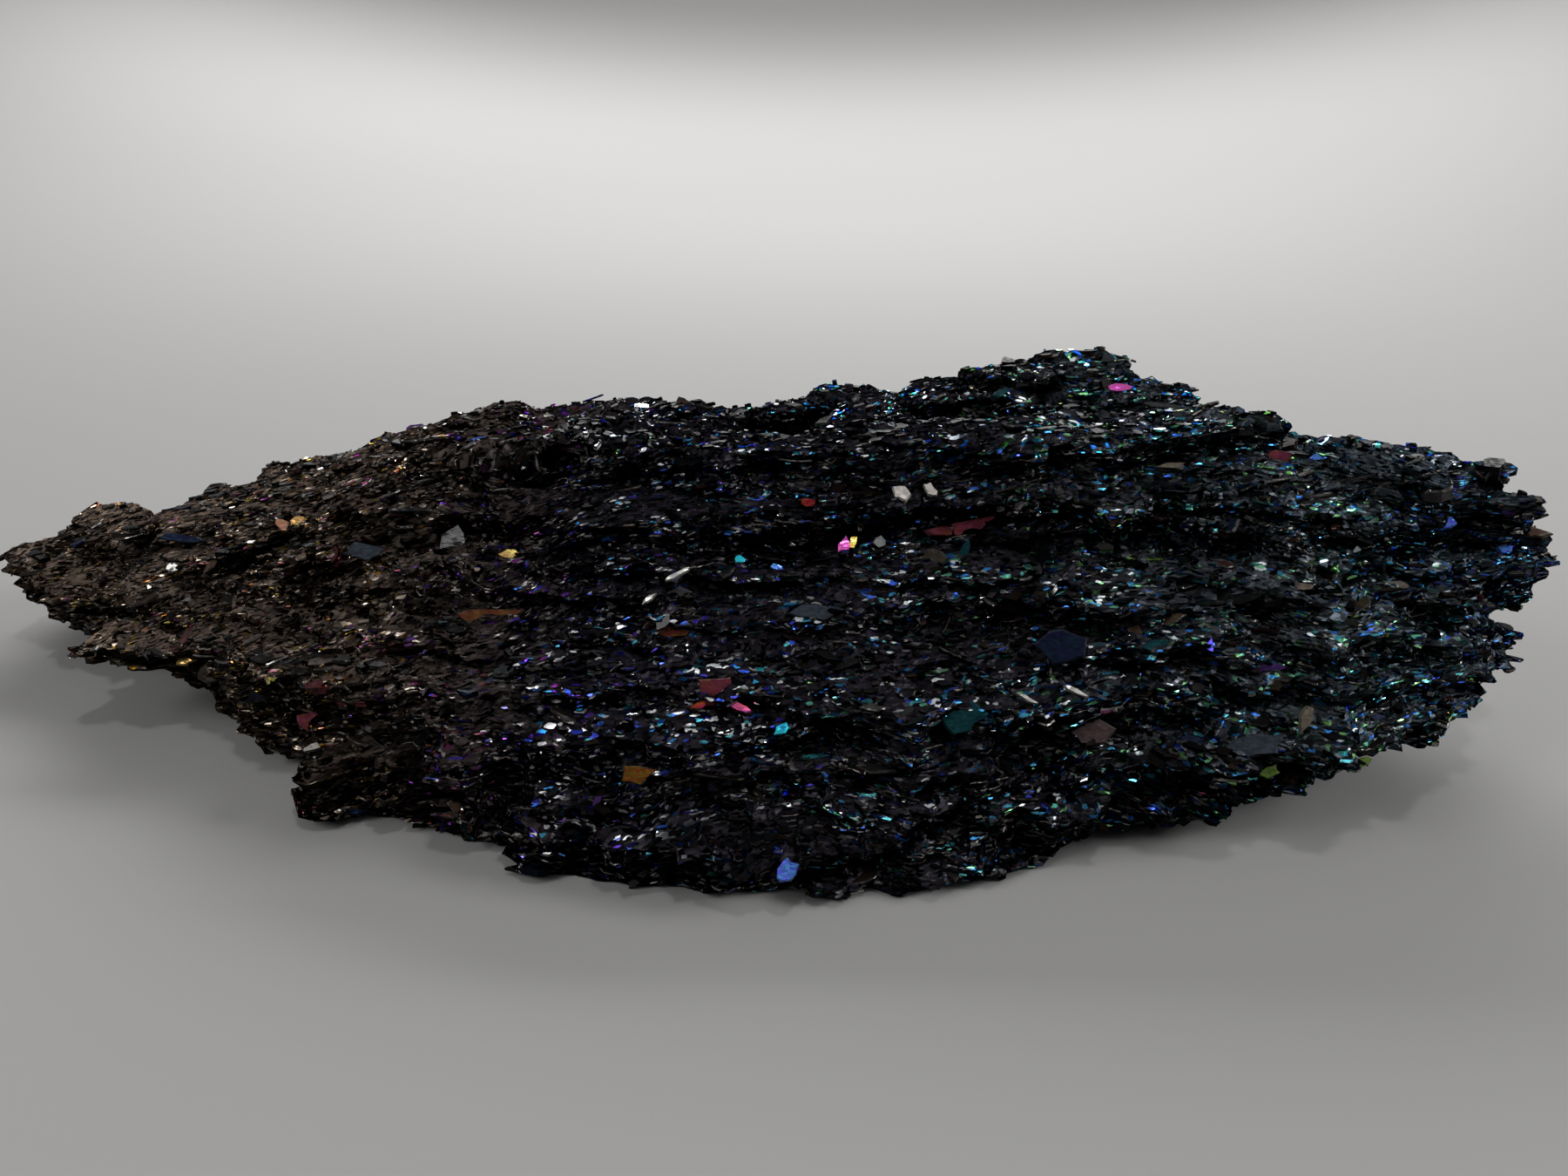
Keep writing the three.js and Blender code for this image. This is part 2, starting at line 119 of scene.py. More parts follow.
# Single plates that stand out: the place of the middle, the length and the width, all in millimetres, the
# turn in the plate's own plane and the lean from level towards the front in degrees, and the finish.
FACETS = (
    (16.2, -5.5, 14.2, 5.6, 1.0, 9, 62, "maroon"),
    (7.2, -4.5, 14.3, 2.5, 0.8, -4, 62, "red"),
    (8.6, -5.9, 12.6, 1.8, 1.1, 80, 46, "magenta"),
    (9.05, -5.7, 13, 1.5, 0.6, 75, 44, "straw"),
    (9.7, -5, 13.7, 1.3, 0.4, 60, 42, "white"),
    (11.9, -5, 15.5, 1.4, 1.2, 60, 40, "pale"),
    (13.7, -4.5, 15.6, 1.2, 0.8, -50, 48, "pale"),
    (13.6, -7.9, 13.2, 1.8, 1.6, 5, 75, "brown"),
    (15.5, -7.3, 12.9, 1.8, 0.8, 70, 75, "teal"),
    (-1.1, -9, 11.9, 1.8, 0.3, 28, 44, "white"),
    (-2.1, -10.8, 10.4, 1.1, 0.3, 40, 44, "white"),
    (2.3, -6.7, 12.2, 0.9, 0.6, 2, 43, "cyan"),
    (4.7, -7.9, 12.4, 1.1, 0.4, -12, 43, "blue"),
    (-1.6, -11.5, 9.3, 3.3, 1.4, 6, 60, "rust"),
    (-11.8, -10.8, 9.2, 4.6, 1.7, 3, 60, "rust"),
    (1.4, -15.9, 8, 2.9, 2.1, 20, 60, "maroon"),
    (2.5, -16.9, 7.3, 1.7, 0.5, -25, 44, "pink"),
    (0.4, -16.7, 7.3, 1.3, 0.5, 30, 50, "red"),
    (-2.4, -20.1, 5.5, 1.9, 1.1, 12, 64, "orange"),
    (-3.8, -20.4, 4, 1.9, 0.9, 8, 66, "violet"),
    (19.7, -14.3, 10.3, 3.2, 2.3, 8, 62, "navy"),
    (14.4, -17.1, 7, 3, 1.7, 10, 60, "teal"),
    (20.7, -16.7, 6.7, 4.2, 2.1, -4, 64, "plum"),
    (17.7, -17.1, 8.2, 1.3, 0.25, -35, 46, "white"),
    (20.1, -16.7, 8.3, 1.7, 0.25, -28, 46, "white"),
    (5, -17.7, 6.8, 1, 0.7, 30, 43, "cyan"),
    (6.8, -11.1, 10.5, 3.4, 1.3, 12, 60, "slate"),
    (20.2, -11, 11.6, 1.2, 0.3, 60, 46, "white"),
    (32.3, -16.9, 7, 1.5, 0.9, 80, 66, "beige"),
    (39.5, -9.8, 11.6, 2.5, 0.7, 4, 60, "beige"),
    (33, -11.5, 11.6, 1.8, 0.5, 2, 60, "beige"),
    (39.7, -4.8, 16, 2.6, 0.7, 8, 60, "beige"),
    (28.7, -3.7, 16.9, 3.2, 0.5, 6, 60, "beige"),
    (25, -14.4, 9.8, 1.9, 0.8, 3, 60, "teal"),
    (30.7, -14.6, 9, 2.5, 0.9, 4, 62, "violet"),
    (29.2, -18.2, 6, 4.4, 1.3, 2, 62, "slate"),
    (34.3, -3.2, 17.1, 3, 0.9, -3, 62, "maroon"),
    (37.4, -3.9, 16.5, 2.1, 0.7, 12, 42, "blue"),
    (43.3, -6.5, 14.3, 1.9, 0.8, 14, 43, "blue"),
    (28.5, 11.1, 17.1, 2, 1, 10, 36, "magenta"),
    (30.1, -18.9, 4.7, 1.3, 0.7, 20, 44, "lime"),
    (-26, 8, 12.8, 3, 1.2, 4, 36, "gold"),
    (-27.7, 1.3, 11.3, 1.5, 0.9, -20, 42, "salmon"),
    (-25.9, 1.4, 11.5, 1.6, 1, 8, 42, "gold"),
    (-20.1, -4.1, 11.4, 4.2, 1.3, -6, 60, "slate"),
    (-17.7, -3.5, 11.9, 3.3, 1, 2, 60, "brown"),
    (-11.1, -6.8, 11.7, 1.6, 0.7, -3, 43, "gold"),
    (-32, -4.8, 4.9, 1.8, 0.9, 24, 44, "gold"),
    (-30.5, -5.1, 5.5, 1.6, 0.8, 16, 44, "gold"),
    (-22.5, -12.7, 3.8, 2.9, 1.2, 10, 62, "maroon"),
    (-21.3, -13.5, 3.2, 1.9, 0.4, 24, 46, "pale"),
    (-35.7, 3.4, 10, 4.2, 0.7, -4, 50, "navy"),
    (46.9, -6.9, 14.8, 1.2, 0.7, 10, 44, "violet"),
    (47.2, -6.9, 12.6, 1.2, 0.6, -5, 44, "blue"),
    (5.2, -24, 2.5, 1.3, 1, 50, 44, "blue"),
    (34.9, -18.8, 5.4, 1.1, 0.6, 15, 44, "lime"),
    (20.7, 12.5, 18.1, 2.8, 1.1, 5, 34, "teal"),
    (-14.1, 1.5, 16.2, 1.7, 0.7, 8, 40, "blue"),
    (-23, 16, 14, 1.4, 0.8, 10, 34, "violet"),
)

# Colour, metal and roughness of the finishes of the single plates.
FACET_FINISHES = {
    "maroon": ((0.075, 0.014, 0.02), 0.3, 0.5),
    "red": ((0.2, 0.012, 0.018), 0.4, 0.4),
    "rust": ((0.06, 0.02, 0.009), 0.3, 0.5),
    "brown": ((0.03, 0.024, 0.018), 0.2, 0.55),
    "orange": ((0.09, 0.036, 0.006), 0.4, 0.45),
    "beige": ((0.075, 0.063, 0.05), 0.1, 0.6),
    "plum": ((0.05, 0.032, 0.034), 0.3, 0.5),
    "navy": ((0.004, 0.007, 0.018), 0.4, 0.5),
    "slate": ((0.022, 0.027, 0.036), 0.3, 0.45),
    "teal": ((0.006, 0.035, 0.042), 0.5, 0.4),
    "violet": ((0.05, 0.022, 0.1), 0.6, 0.35),
    "pale": ((0.24, 0.225, 0.21), 0.2, 0.4),
    "white": ((0.38, 0.37, 0.35), 0.6, 0.25),
    "cyan": ((0.03, 0.45, 0.62), 0.9, 0.2),
    "blue": ((0.08, 0.18, 0.6), 0.9, 0.2),
    "magenta": ((0.6, 0.1, 0.42), 0.9, 0.25),
    "straw": ((0.3, 0.2, 0.05), 0.9, 0.3),
    "pink": ((0.5, 0.08, 0.2), 0.9, 0.25),
    "salmon": ((0.36, 0.18, 0.11), 0.9, 0.3),
    "gold": ((0.5, 0.32, 0.11), 0.9, 0.25),
    "lime": ((0.09, 0.14, 0.03), 0.9, 0.25),
}

# Clear crystals: as the single plates, with the thickness in place of the finish.
CLEAR_CRYSTALS = (
    (-1.3, -9.7, 11.1, 2.6, 1.1, 28, 74, 0.7),
    (-15.1, -3.9, 11.6, 2.7, 1.6, 80, 66, 0.6),
    (10.6, -7.5, 12.7, 1, 0.9, 20, 50, 0.8),
    (-1.5, -10.4, 8.2, 1.3, 0.9, 50, 50, 0.5),
    (23.7, 3.5, 18.4, 1.8, 1.2, 15, 20, 0.6),
    (-6.3, 12.5, 17, 1.6, 1.2, 40, -20, 0.6),
    (11.7, 20.5, 13, 2, 1.1, 10, -60, 0.7),
    (-30.3, 14.5, 9, 1.5, 1.1, 30, -50, 0.5),
    (37.7, 14.5, 12, 1.8, 1, -20, -60, 0.6),
)

# Outlines of a plate from the top down: share of the full outline, and height in shares of the thickness.
PLAIN = ((1, 0.5), (1, -0.5))
RIMMED = ((0.9, 0.5), (1, 0.1), (0.97, -0.5))

# Surfaces of the plates: rough as the crust, dull with tarnish, or clean.
ROUGH, DULL, CLEAN = 0, 1, 2


class Growth(NamedTuple):
    """How the plates of one kind grow."""

    pieces: tuple  # the names of their pieces, from the tip to the ragged end
    seed: int  # added to the seed of the settings
    corners: int
    levels: tuple  # their outline
    slender: tuple  # least and most width, as a share of the length
    thick: float  # typical thickness, as a share of that of a fine plate
    mix: tuple  # share of each of the surfaces
    pale: float  # share of the plates whose sides are pale, as broken sides are and as a painted highlight of the rim
    proud: float  # how far they stand out
    vary: float = 0.38  # how much the lengths differ by chance
    longest: float = 1.8  # and their limit, as a share of the typical length
    swing: float = 0.45  # how far a length swings off the rim of its layer, in radians


# Each kind's pieces, seed, corners, levels, slender, thick, mix, pale and proud, and then what is its own.
SPLINTERS = Growth(
    ("splinters_tip_side", "splinters_end_side"),
    0, 3, PLAIN, (0.35, 0.95), 0.5, (0.1, 0.2, 0.7), 0.3, 0.12 * MM,
)
FINE_PLATES = Growth(
    ("fine_plates_tip", "fine_plates_middle", "fine_plates_end"),
    1, 5, PLAIN, (0.4, 0.9), 1, (0.45, 0.37, 0.18), 0.35, 0.2 * MM,
)
BROAD_PLATES = Growth(("broad_plates",), 2, 6, RIMMED, (0.3, 0.75), 1.6, (0.45, 0.5, 0.05), 0.35, 0.18 * MM)
BLOCKS = Growth(("blocks",), 6, 6, RIMMED, (0.5, 1), 3.2, (0.6, 0.38, 0.02), 0.2, 0.15 * MM)
SLABS = Growth(
    ("slabs",), 3, 8, RIMMED, (0.28, 0.65), 1, (0.2, 0.79, 0.01), 0.5, 0.15 * MM,
    vary=0.4, longest=1.7, swing=0.3,
)
LATHS = Growth(
    ("laths",), 4, 6, RIMMED, (0.12, 0.3), 1, (0.25, 0.7, 0.05), 0.6, 0.2 * MM,
    vary=0.35, longest=1.6, swing=0.2,
)
SINGLES_SEED, CLEAR_SEED = 5, 6  # added to the seed of the settings
SINGLES_THICK = 2.2  # thickness of a single plate, as a share of that of a fine plate

# How far the top of the crust is raised, and its underside, at places along the chunk, in millimetres.
TOP_RISE = (
    (
        -52, -47, -45, -43, -41.5, -40, -38, -34, -28, -23, -12, -2,
        1, 6.5, 8.5, 13, 18, 24, 30, 33, 37, 43, 48,
    ),
    (
        1.2, -0.7, -1.5, -1.8, -1.1, -1.3, 0, -0.1, 0, 0.5, 0.8, 0.4,
        -0.6, -0.6, 0.1, -0.3, -0.4, -0.1, 0.5, 0.9, 0.7, -0.1, -0.2,
    ),
)
FOOT_RISE = ((-48, -44, -39, -35, -30), (0, 1, 1.6, 1.1, 0))

# The soft lights: name, place, what it looks towards, width and height, all in metres, the power as a share
# of the key light's, and the angle of its beam in degrees.
LIGHTS = (
    ("key", (0.03, 0.41, 0.25), (0.02, 0.24, 0), (0.6, 0.14), 1, 100),
    ("window", (-0.3, -0.16, 0.24), (0, 0, 0.01), (0.2, 0.16), 0.2, 120),
    ("top", (0.06, -0.1, 0.5), (0, 0, 0.01), (0.04, 0.04), 0.03, 60),
    ("right", (0.4, -0.05, 0.2), (0, 0, 0.01), (0.16, 0.12), 0.22, 90),
    ("wall", (0, 0.24, 0.3), (0, 0.66, 0.14), (0.4, 0.1), 0.45, 110),
)
SKY = (0.33, 0.43)  # brightness of the room, level and straight up
LEVEL_RADIUS, WALL_RADIUS, WALL_BEND = 0.16, 0.75, 0.8  # of the floor, in metres and quarter turns
LENS, SENSOR = 27.2, 36  # in millimetres
CAMERA_SIDE = 5 * MM  # how far the camera stands to the right


# ---- settings ----


def length(name, description, default):
    """A setting for a length in metres."""
    return bpy.props.FloatProperty(name=name, description=description, default=default, min=0, unit="LENGTH")


def number(name, description, default):
    """A setting for how many plates there are."""
    return bpy.props.IntProperty(name=name, description=description, default=default, min=1)


def film(name, description, default):
    """A setting for the thickness of an oxide film in nanometres."""
    return bpy.props.FloatProperty(name=name, description=description, default=default, min=0)


def colour(name, description, default):
    """A setting for a colour."""
    return bpy.props.FloatVectorProperty(
        name=name, description=description, default=default, min=0, max=1, subtype="COLOR"
    )


class PlateSettings(bpy.types.PropertyGroup):
    """Sizes and numbers of the plates, and of the crust that they grow on."""

    crust_grain: length("Crust grain", "Side of the even squares of the crust", 0.4 * MM)
    crust_depth: length("Crust depth", "How deep the crust is crumbled", 0.9 * MM)
    seed: bpy.props.IntProperty(name="Seed", description="Start of the random growth", default=7, min=0)
    splinter_count: number("Splinters", "Three-cornered splinters all over the chunk", 9000)
    splinter_size: length("Splinter size", "Typical length of a splinter", 0.5 * MM)
    fine_count: number("Fine plates", "Small five-cornered plates all over the chunk", 11500)
    fine_size: length("Fine size", "Typical length of a fine plate", 0.75 * MM)
    broad_count: number("Broad plates", "Larger six-cornered plates between the fine ones", 2800)
    broad_size: length("Broad size", "Typical length of a broad plate", 1.6 * MM)
    block_count: number("Blocks", "Short thick crystals that break the layers up", 2600)
    block_size: length("Block size", "Typical length of a block", 1.1 * MM)
    slab_count: number("Slabs", "Tarnished slabs that turn a face outwards", 520)
    slab_size: length("Slab size", "Typical length of a slab", 2.2 * MM)
    lath_count: number("Laths", "Long narrow plates along the rims of the layers", 1700)
    lath_size: length("Lath size", "Typical length of a lath", 1.9 * MM)
    thickness: length("Thickness", "Typical thickness of a fine plate", 0.13 * MM)


class FinishSettings(bpy.types.PropertyGroup):
    """Colours of the plates and of the crust. The films are in nanometres of oxide."""

    tip_film: film("Film at the tip", "Oxide film on the plates at the narrow tip, in nanometres", 235)
    middle_film: film("Film in the middle", "Oxide film on the plates in the middle, in nanometres", 306)
    end_film: film("Film at the end", "Oxide film on the plates towards the ragged end, in nanometres", 334)
    shine: bpy.props.FloatProperty(
        name="Shine",
        description="Share of the light that a clean plate sends back",
        default=0.4,
        min=0,
        subtype="FACTOR",
    )
    tip_matrix: colour("Crust at the tip", "Colour of the dull crust there", (0.024, 0.0185, 0.015))
    middle_matrix: colour("Crust in the middle", "Colour of the dull crust there", (0.0025, 0.0022, 0.0028))
    end_matrix: colour("Crust at the end", "Colour of the dull crust there", (0.0095, 0.0112, 0.0128))


class StageSettings(bpy.types.PropertyGroup):
    """The floor, the lights and the camera."""

    floor_color: colour("Floor", "Colour of the plain floor", (0.19, 0.188, 0.185))
    distance: length("Camera distance", "From the camera to the middle of the chunk, level", 72.1 * MM)
    height: length("Camera height", "Height of the camera above the floor", 36.7 * MM)
    pitch: bpy.props.FloatProperty(
        name="Camera pitch",
        description="How far the camera looks down",
        default=math.radians(22),
        unit="ROTATION",
    )
    key_power: bpy.props.FloatProperty(
        name="Key light",
        description="Power of the soft light over the back",
        default=2.1,
        min=0,
        unit="POWER",
    )


# ---- meshes from whole arrays ----


def mesh_object(name, points, rings, values, smooth=False):
    """A mesh object from points (n, 3) and rings, a list of (faces, corners) index arrays that wind outwards.

    values is a dict of attribute names to one colour (faces, 4) or number (faces,) for each face, in the
    order of the rings.
    """
    mesh = bpy.data.meshes.new(name)
    mesh.vertices.add(len(points))
    mesh.vertices.foreach_set("co", np.ascontiguousarray(points, np.float32).ravel())
    corners = np.concatenate([ring.ravel() for ring in rings]).astype(np.int32)
    sizes = np.concatenate([np.full(len(ring), ring.shape[1]) for ring in rings])
    mesh.loops.add(len(corners))
    mesh.loops.foreach_set("vertex_index", corners)
    mesh.polygons.add(len(sizes))
    mesh.polygons.foreach_set("loop_start", (np.cumsum(sizes) - sizes).astype(np.int32))
    mesh.update(calc_edges=True)
    for key, value in values.items():
        value = np.asarray(value, np.float32)
        kind, field = ("FLOAT_COLOR", "color") if value.ndim == 2 else ("FLOAT", "value")
        mesh.attributes.new(key, kind, "FACE").data.foreach_set(field, value.ravel())
    mesh.polygons.foreach_set("use_smooth", np.full(len(sizes), smooth))
    piece = bpy.data.objects.new(name, mesh)
    bpy.context.scene.collection.objects.link(piece)
    return piece


def read(items, field, width=3, kind=np.float32):
    """One field of each item of a mesh, as an array (items, width)."""
    values = np.empty(len(items) * width, kind)
    items.foreach_get(field, values)
    return values.reshape(-1, width)


def set_vectors(mesh, name, vectors):
    """Give a mesh an attribute with one vector for each vertex."""
    layer = mesh.attributes.new(name, "FLOAT_VECTOR", "POINT")
    layer.data.foreach_set("vector", np.ascontiguousarray(vectors, np.float32).ravel())


def unit(vectors):
    """Each vector divided by its own length."""
    return vectors / np.maximum(np.linalg.norm(vectors, axis=-1, keepdims=True), 1e-12)


def dot(a, b):
    """The dot product of each pair of vectors, kept as a column."""
    return (a * b).sum(axis=-1, keepdims=True)


def prism_points(centre, along, upright, size, corners, levels, rng):
    """Points of many flat prisms. Corner k of level j is the centre, plus share j * (length / 2 * cos(a)
    along + width / 2 * sin(a) across), plus height j * thickness upright. The turn a goes round in even
    steps, and the turn and the reach of each corner are changed a little by chance. size holds length,
    width and thickness."""
    count = len(centre)
    length, width, thickness = size
    across = np.cross(upright, along)
    turn = 2 * np.pi * (np.arange(corners) + rng.uniform(-0.24, 0.24, (count, corners))) / corners
    reach = rng.uniform(0.58, 1.14, (count, corners))
    flat = (
        (length[:, None] / 2 * reach * np.cos(turn))[..., None] * along[:, None]
        + (width[:, None] / 2 * reach * np.sin(turn))[..., None] * across[:, None]
    )
    rise = thickness[:, None, None] * upright[:, None]
    outlines = [centre[:, None] + share * flat + height * rise for share, height in levels]
    return np.concatenate(outlines, axis=1)


def prism_rings(count, corners, levels):
    """Faces of many prisms: the top of each, the bottom of each, then each band of sides, all facing out."""
    base = (np.arange(count) * len(levels) * corners)[:, None]
    step = np.arange(corners)
    after = (step + 1) % corners
    side = np.stack([step, step + corners, after + corners, after], axis=-1)
    bands = [(base[:, None] + side[None] + band * corners).reshape(-1, 4) for band in range(len(levels) - 1)]
    return [base + step, base + (len(levels) - 1) * corners + step[::-1], *bands]


def bake_map(piece, count, corners, levels):
    """A UV map for prisms: each prism has a square cell of its own in a grid, its two flat faces in the left
    part of the cell and each band of its sides in a strip of its own at the right."""
    grid = math.ceil(math.sqrt(count))
    index = np.arange(count)
    origin = np.stack([index % grid, index // grid], axis=-1)
    turn = 2 * np.pi * np.arange(corners) / corners
    round_face = np.stack([0.34 + 0.26 * np.cos(turn), 0.5 + 0.38 * np.sin(turn)], axis=-1)
    parts = [origin[:, None] + round_face, origin[:, None] + round_face[::-1]]
    bands = len(levels) - 1
    for band in range(bands):
        left, right = 0.66 + 0.28 * band / bands, 0.64 + 0.28 * (band + 1) / bands
        strip = np.array([[left, 0.88], [left, 0.12], [right, 0.12], [right, 0.88]])
        parts.append(origin[:, None, None] + np.broadcast_to(strip, (count, corners, 4, 2)))
    uv = np.concatenate([part.reshape(-1, 2) for part in parts]) / grid
    layer = piece.data.uv_layers.new(name="OFBake")
    layer.data.foreach_set("uv", uv.astype(np.float32).ravel())


# ---- the solid, its layers and the films ----


def crust_triangles():
    """Corners (n, 3, 3), normals and areas of the triangles of the crust, and the outward directions there of
    the smooth form that it was crumbled from."""
    mesh = bpy.data.objects["crust"].data
    mesh.calc_loop_triangles()
    index = read(mesh.loop_triangles, "vertices", kind=np.int32)
    corners = read(mesh.vertices, "co")[index].astype(float)
    cross = np.cross(corners[:, 1] - corners[:, 0], corners[:, 2] - corners[:, 0])
    outwards = unit(read(mesh.attributes["outwards"].data, "vector")[index].mean(axis=1))
    return corners, unit(cross), np.linalg.norm(cross, axis=1) / 2, outwards


def waves(place, size, seed):
    """A smooth random value at each place, mostly from -1 to 1: the sum of six plane waves in random
    directions, each about size long, over 2.4."""
    rng = np.random.default_rng(seed)
    total = np.zeros(len(place))
    for _ in range(6):
        direction = unit(rng.normal(size=3))
        length = size * rng.uniform(0.7, 1.5)
        total += np.sin(2 * np.pi * (place @ direction) / length + rng.uniform(0, 2 * np.pi))
    return total / 2.4


def zone(place, values):
    """Values that go with ZONES, read at each place."""
    return np.interp(place[:, 0], ZONES, values)


def back_ridge(place):
    """1 on the ridge at the back of the ragged half, where most plates catch the light, falling to 0 in front
    of it and towards the tip."""
    return np.clip(place[:, 1] / (6 * MM) - 1.3, 0, 1) * np.clip(place[:, 0] / (8 * MM) - 0.25, 0, 1)


def openness(place):
    """How thickly plates grow at each place, from 0.25 in the dark pockets to 1. The pockets are about 7 and
    3 mm long, and less than half as high."""
    flat = place * [1, 1, 2.5]
    return np.clip(0.6 + 0.5 * waves(flat, 7 * MM, seed=21) + 0.25 * waves(flat, 3 * MM, seed=22), 0.25, 1)


def beside_singles(place):
    """0 at each place where a single plate lies, and 1 beside them. A single plate takes up a ball round its
    middle, as wide as the mean of its length and width."""
    rows = np.array([row[:5] for row in (*FACETS, *CLEAR_CRYSTALS)], float) * MM
    squared = sum((place[:, axis, None] - rows[:, axis]) ** 2 for axis in range(3))
    return np.all(squared > ((rows[:, 3] + rows[:, 4]) / 4) ** 2, axis=1).astype(float)


def scatter(count, rng):
    """Places spread over the crust, and the normals there, a third of the way from those of the smooth form
    to the crust's own. They are denser where the openness is larger, fewer on the back and below, and none
    is on the flat foot or under a single plate. Twice as many places as are needed are spread evenly, and
    the ones that are kept are drawn by these shares."""
    corners, normals, areas, outwards = crust_triangles()
    foot = (normals[:, 2] < -0.9) & (corners[:, :, 2].max(axis=1) < FOOT)
    hidden = FEWER_BEHIND * np.clip(normals[:, 1], 0, 1) + FEWER_BELOW * np.clip(-normals[:, 2], 0, 1)
    chance = np.where(foot, 0, areas * (1 - hidden))
    pick = rng.choice(len(areas), 2 * count, p=chance / chance.sum())
    a, b = rng.random((2, 2 * count))
    over = a + b > 1
    a[over], b[over] = 1 - a[over], 1 - b[over]
    first = corners[pick, 0]
    place = first + a[:, None] * (corners[pick, 1] - first) + b[:, None] * (corners[pick, 2] - first)
    keep = openness(place) * beside_singles(place)
    chosen = rng.choice(2 * count, count, replace=False, p=keep / keep.sum())
    return place[chosen], unit(normals + 2 * outwards)[pick][chosen]


def height_share(place):
    """How high each place lies between the lowest and the highest point of the solid at its station along the
    length, from 0 to 1."""
    points = read(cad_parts[CHUNK].data.vertices, "co")
    stations = np.linspace(LOW[0], HIGH[0], STATIONS)
    near = np.abs(points[:, 0] - stations[:, None]) < NEAR
    low = np.where(near, points[:, 2], np.inf).min(axis=1)
    high = np.where(near, points[:, 2], -np.inf).max(axis=1)
    floor, roof = np.interp(place[:, 0], stations, low), np.interp(place[:, 0], stations, high)
    return np.clip((place[:, 2] - floor) / (roof - floor), 0, 1)


def layer_level(place):
    """How many layers lie below each place: LAYERS times the share of the height, made wavy."""
    return LAYERS * height_share(place) + 0.5 * waves(place, 16 * MM, seed=43)


def layered(place):
    """Each place with its height changed to its level at 1 mm a layer, so that a pattern on it follows the
    layers as they fan out."""
    return np.stack([place[:, 0], place[:, 1], layer_level(place) * MM], axis=-1)


def layer_normals(place):
    """The upright of the layers at each place. The layers fan out: those on top climb away from the tip,
    those at the foot drop, and they are wavy."""
    top, foot = zone(place, TOP_CLIMB), zone(place, FOOT_CLIMB)
    climb = foot + (top - foot) * height_share(place) + 0.1 * waves(place, 13 * MM, seed=31)
    back = 0.12 * waves(place, 11 * MM, seed=32)
    return unit(np.stack([-climb, -back, np.ones(len(place))], axis=-1))


def mean_films(finish):
    """Typical thickness of the oxide at each of the ZONES, in nanometres."""
    tip, middle, end = finish.tip_film, finish.middle_film, finish.end_film
    return np.array([tip, tip + 10, middle, middle + 24, end, end - 26])


def film_at(place, finish):
    """Thickness of the oxide at each place, in nanometres. It follows the chunk's length, in patches."""
    patches = zone(place, mean_films(finish)) + 20 * waves(place, 15 * MM, seed=3)
    return patches + 14 * waves(place, 5 * MM, seed=4)


def film_colour(film):
    """Colour of an oxide film on silicon carbide seen straight on. Light that is sent back by the top and by
    the foot of the film adds up or cancels: R = (a^2 + b^2 + 2ab cos p) / (1 + a^2 b^2 + 2ab cos p), where p
    is 4 pi times the index times the thickness over the wavelength. R is averaged over each of three bands
    and stretched to run from 0 to 1, and the colour is 0.05 + 0.95 * R ** 1.3."""
    oxide, carbide = OXIDE_INDEX, CARBIDE_INDEX
    a, b = (1 - oxide) / (1 + oxide), (oxide - carbide) / (oxide + carbide)
    bands = np.array([[585, 610, 635], [520, 545, 570], [435, 455, 475]])
    swing = 2 * a * b * np.cos(4 * np.pi * oxide * np.asarray(film)[:, None, None] / bands)
    sent = (a * a + b * b + swing) / (1 + a * a * b * b + swing)
    least, most = (a - b) ** 2 / (1 - a * b) ** 2, (a + b) ** 2 / (1 + a * b) ** 2
    share = np.clip((sent.mean(axis=-1) - least) / (most - least), 0, 1)
    return 0.05 + 0.95 * share**1.3


# ---- finishes ----


def set_inputs(tree, node, **inputs):
    """Give inputs of a node their values, where _ in a name stands for a space. Another node's output is
    linked, and anything else is set."""
    for name, value in inputs.items():
        put(tree, node.inputs[name.replace("_", " ")], value)


def put(tree, socket, value):
    """Link an output to a socket, or set the socket's own value."""
    if isinstance(value, bpy.types.NodeSocket):
        tree.links.new(value, socket)
    else:
        socket.default_value = value


def add(tree, kind, settings=None, values=(), **inputs):
    """A new node: its settings, the values of its first inputs in order, and those of its named inputs."""
    node = tree.nodes.new(kind)
    for name, value in (settings or {}).items():
        setattr(node, name, value)
    for socket, value in zip(node.inputs, values):
        put(tree, socket, value)
    set_inputs(tree, node, **inputs)
    return node


def new_material(name):
    """The node tree and the Principled shader of a new material."""
    material = bpy.data.materials.new(name)
    material.use_nodes = True
    return material.node_tree, material.node_tree.nodes["Principled BSDF"]


def maths(tree, operation, *values):
    """The result of an operation on numbers, each an output or fixed."""
    return add(tree, "ShaderNodeMath", {"operation": operation}, values).outputs[0]


def vectors(tree, operation, *values):
    """The result of an operation on vectors, each an output or fixed."""
    return add(tree, "ShaderNodeVectorMath", {"operation": operation}, values).outputs[0]


def scaled(tree, vector, factor):
    """A vector or a colour times a number."""
    return add(tree, "ShaderNodeVectorMath", {"operation": "SCALE"}, [vector], Scale=factor).outputs[0]


def spread(tree, value, source, target):
    """A number between the two limits of source, spread over target and held there beyond the limits."""
    (low, high), (least, most) = source, target
    limits = {"From_Min": low, "From_Max": high, "To_Min": least, "To_Max": most}
    return add(tree, "ShaderNodeMapRange", Value=value, **limits).outputs[0]


def mixed(tree, factor, first, second):
    """The first colour where the factor is 0, and the second where it is 1."""
    colours = {"Factor": factor, "A": first, "B": second}
    return add(tree, "ShaderNodeMix", {"data_type": "RGBA"}, **colours).outputs["Result"]


def attribute(tree, name, output="Fac"):
    """An attribute of the mesh."""
    return add(tree, "ShaderNodeAttribute", {"attribute_name": name}).outputs[output]


def object_place(tree):
    """The place on the piece in its own coordinates."""
    return add(tree, "ShaderNodeTexCoord").outputs["Object"]


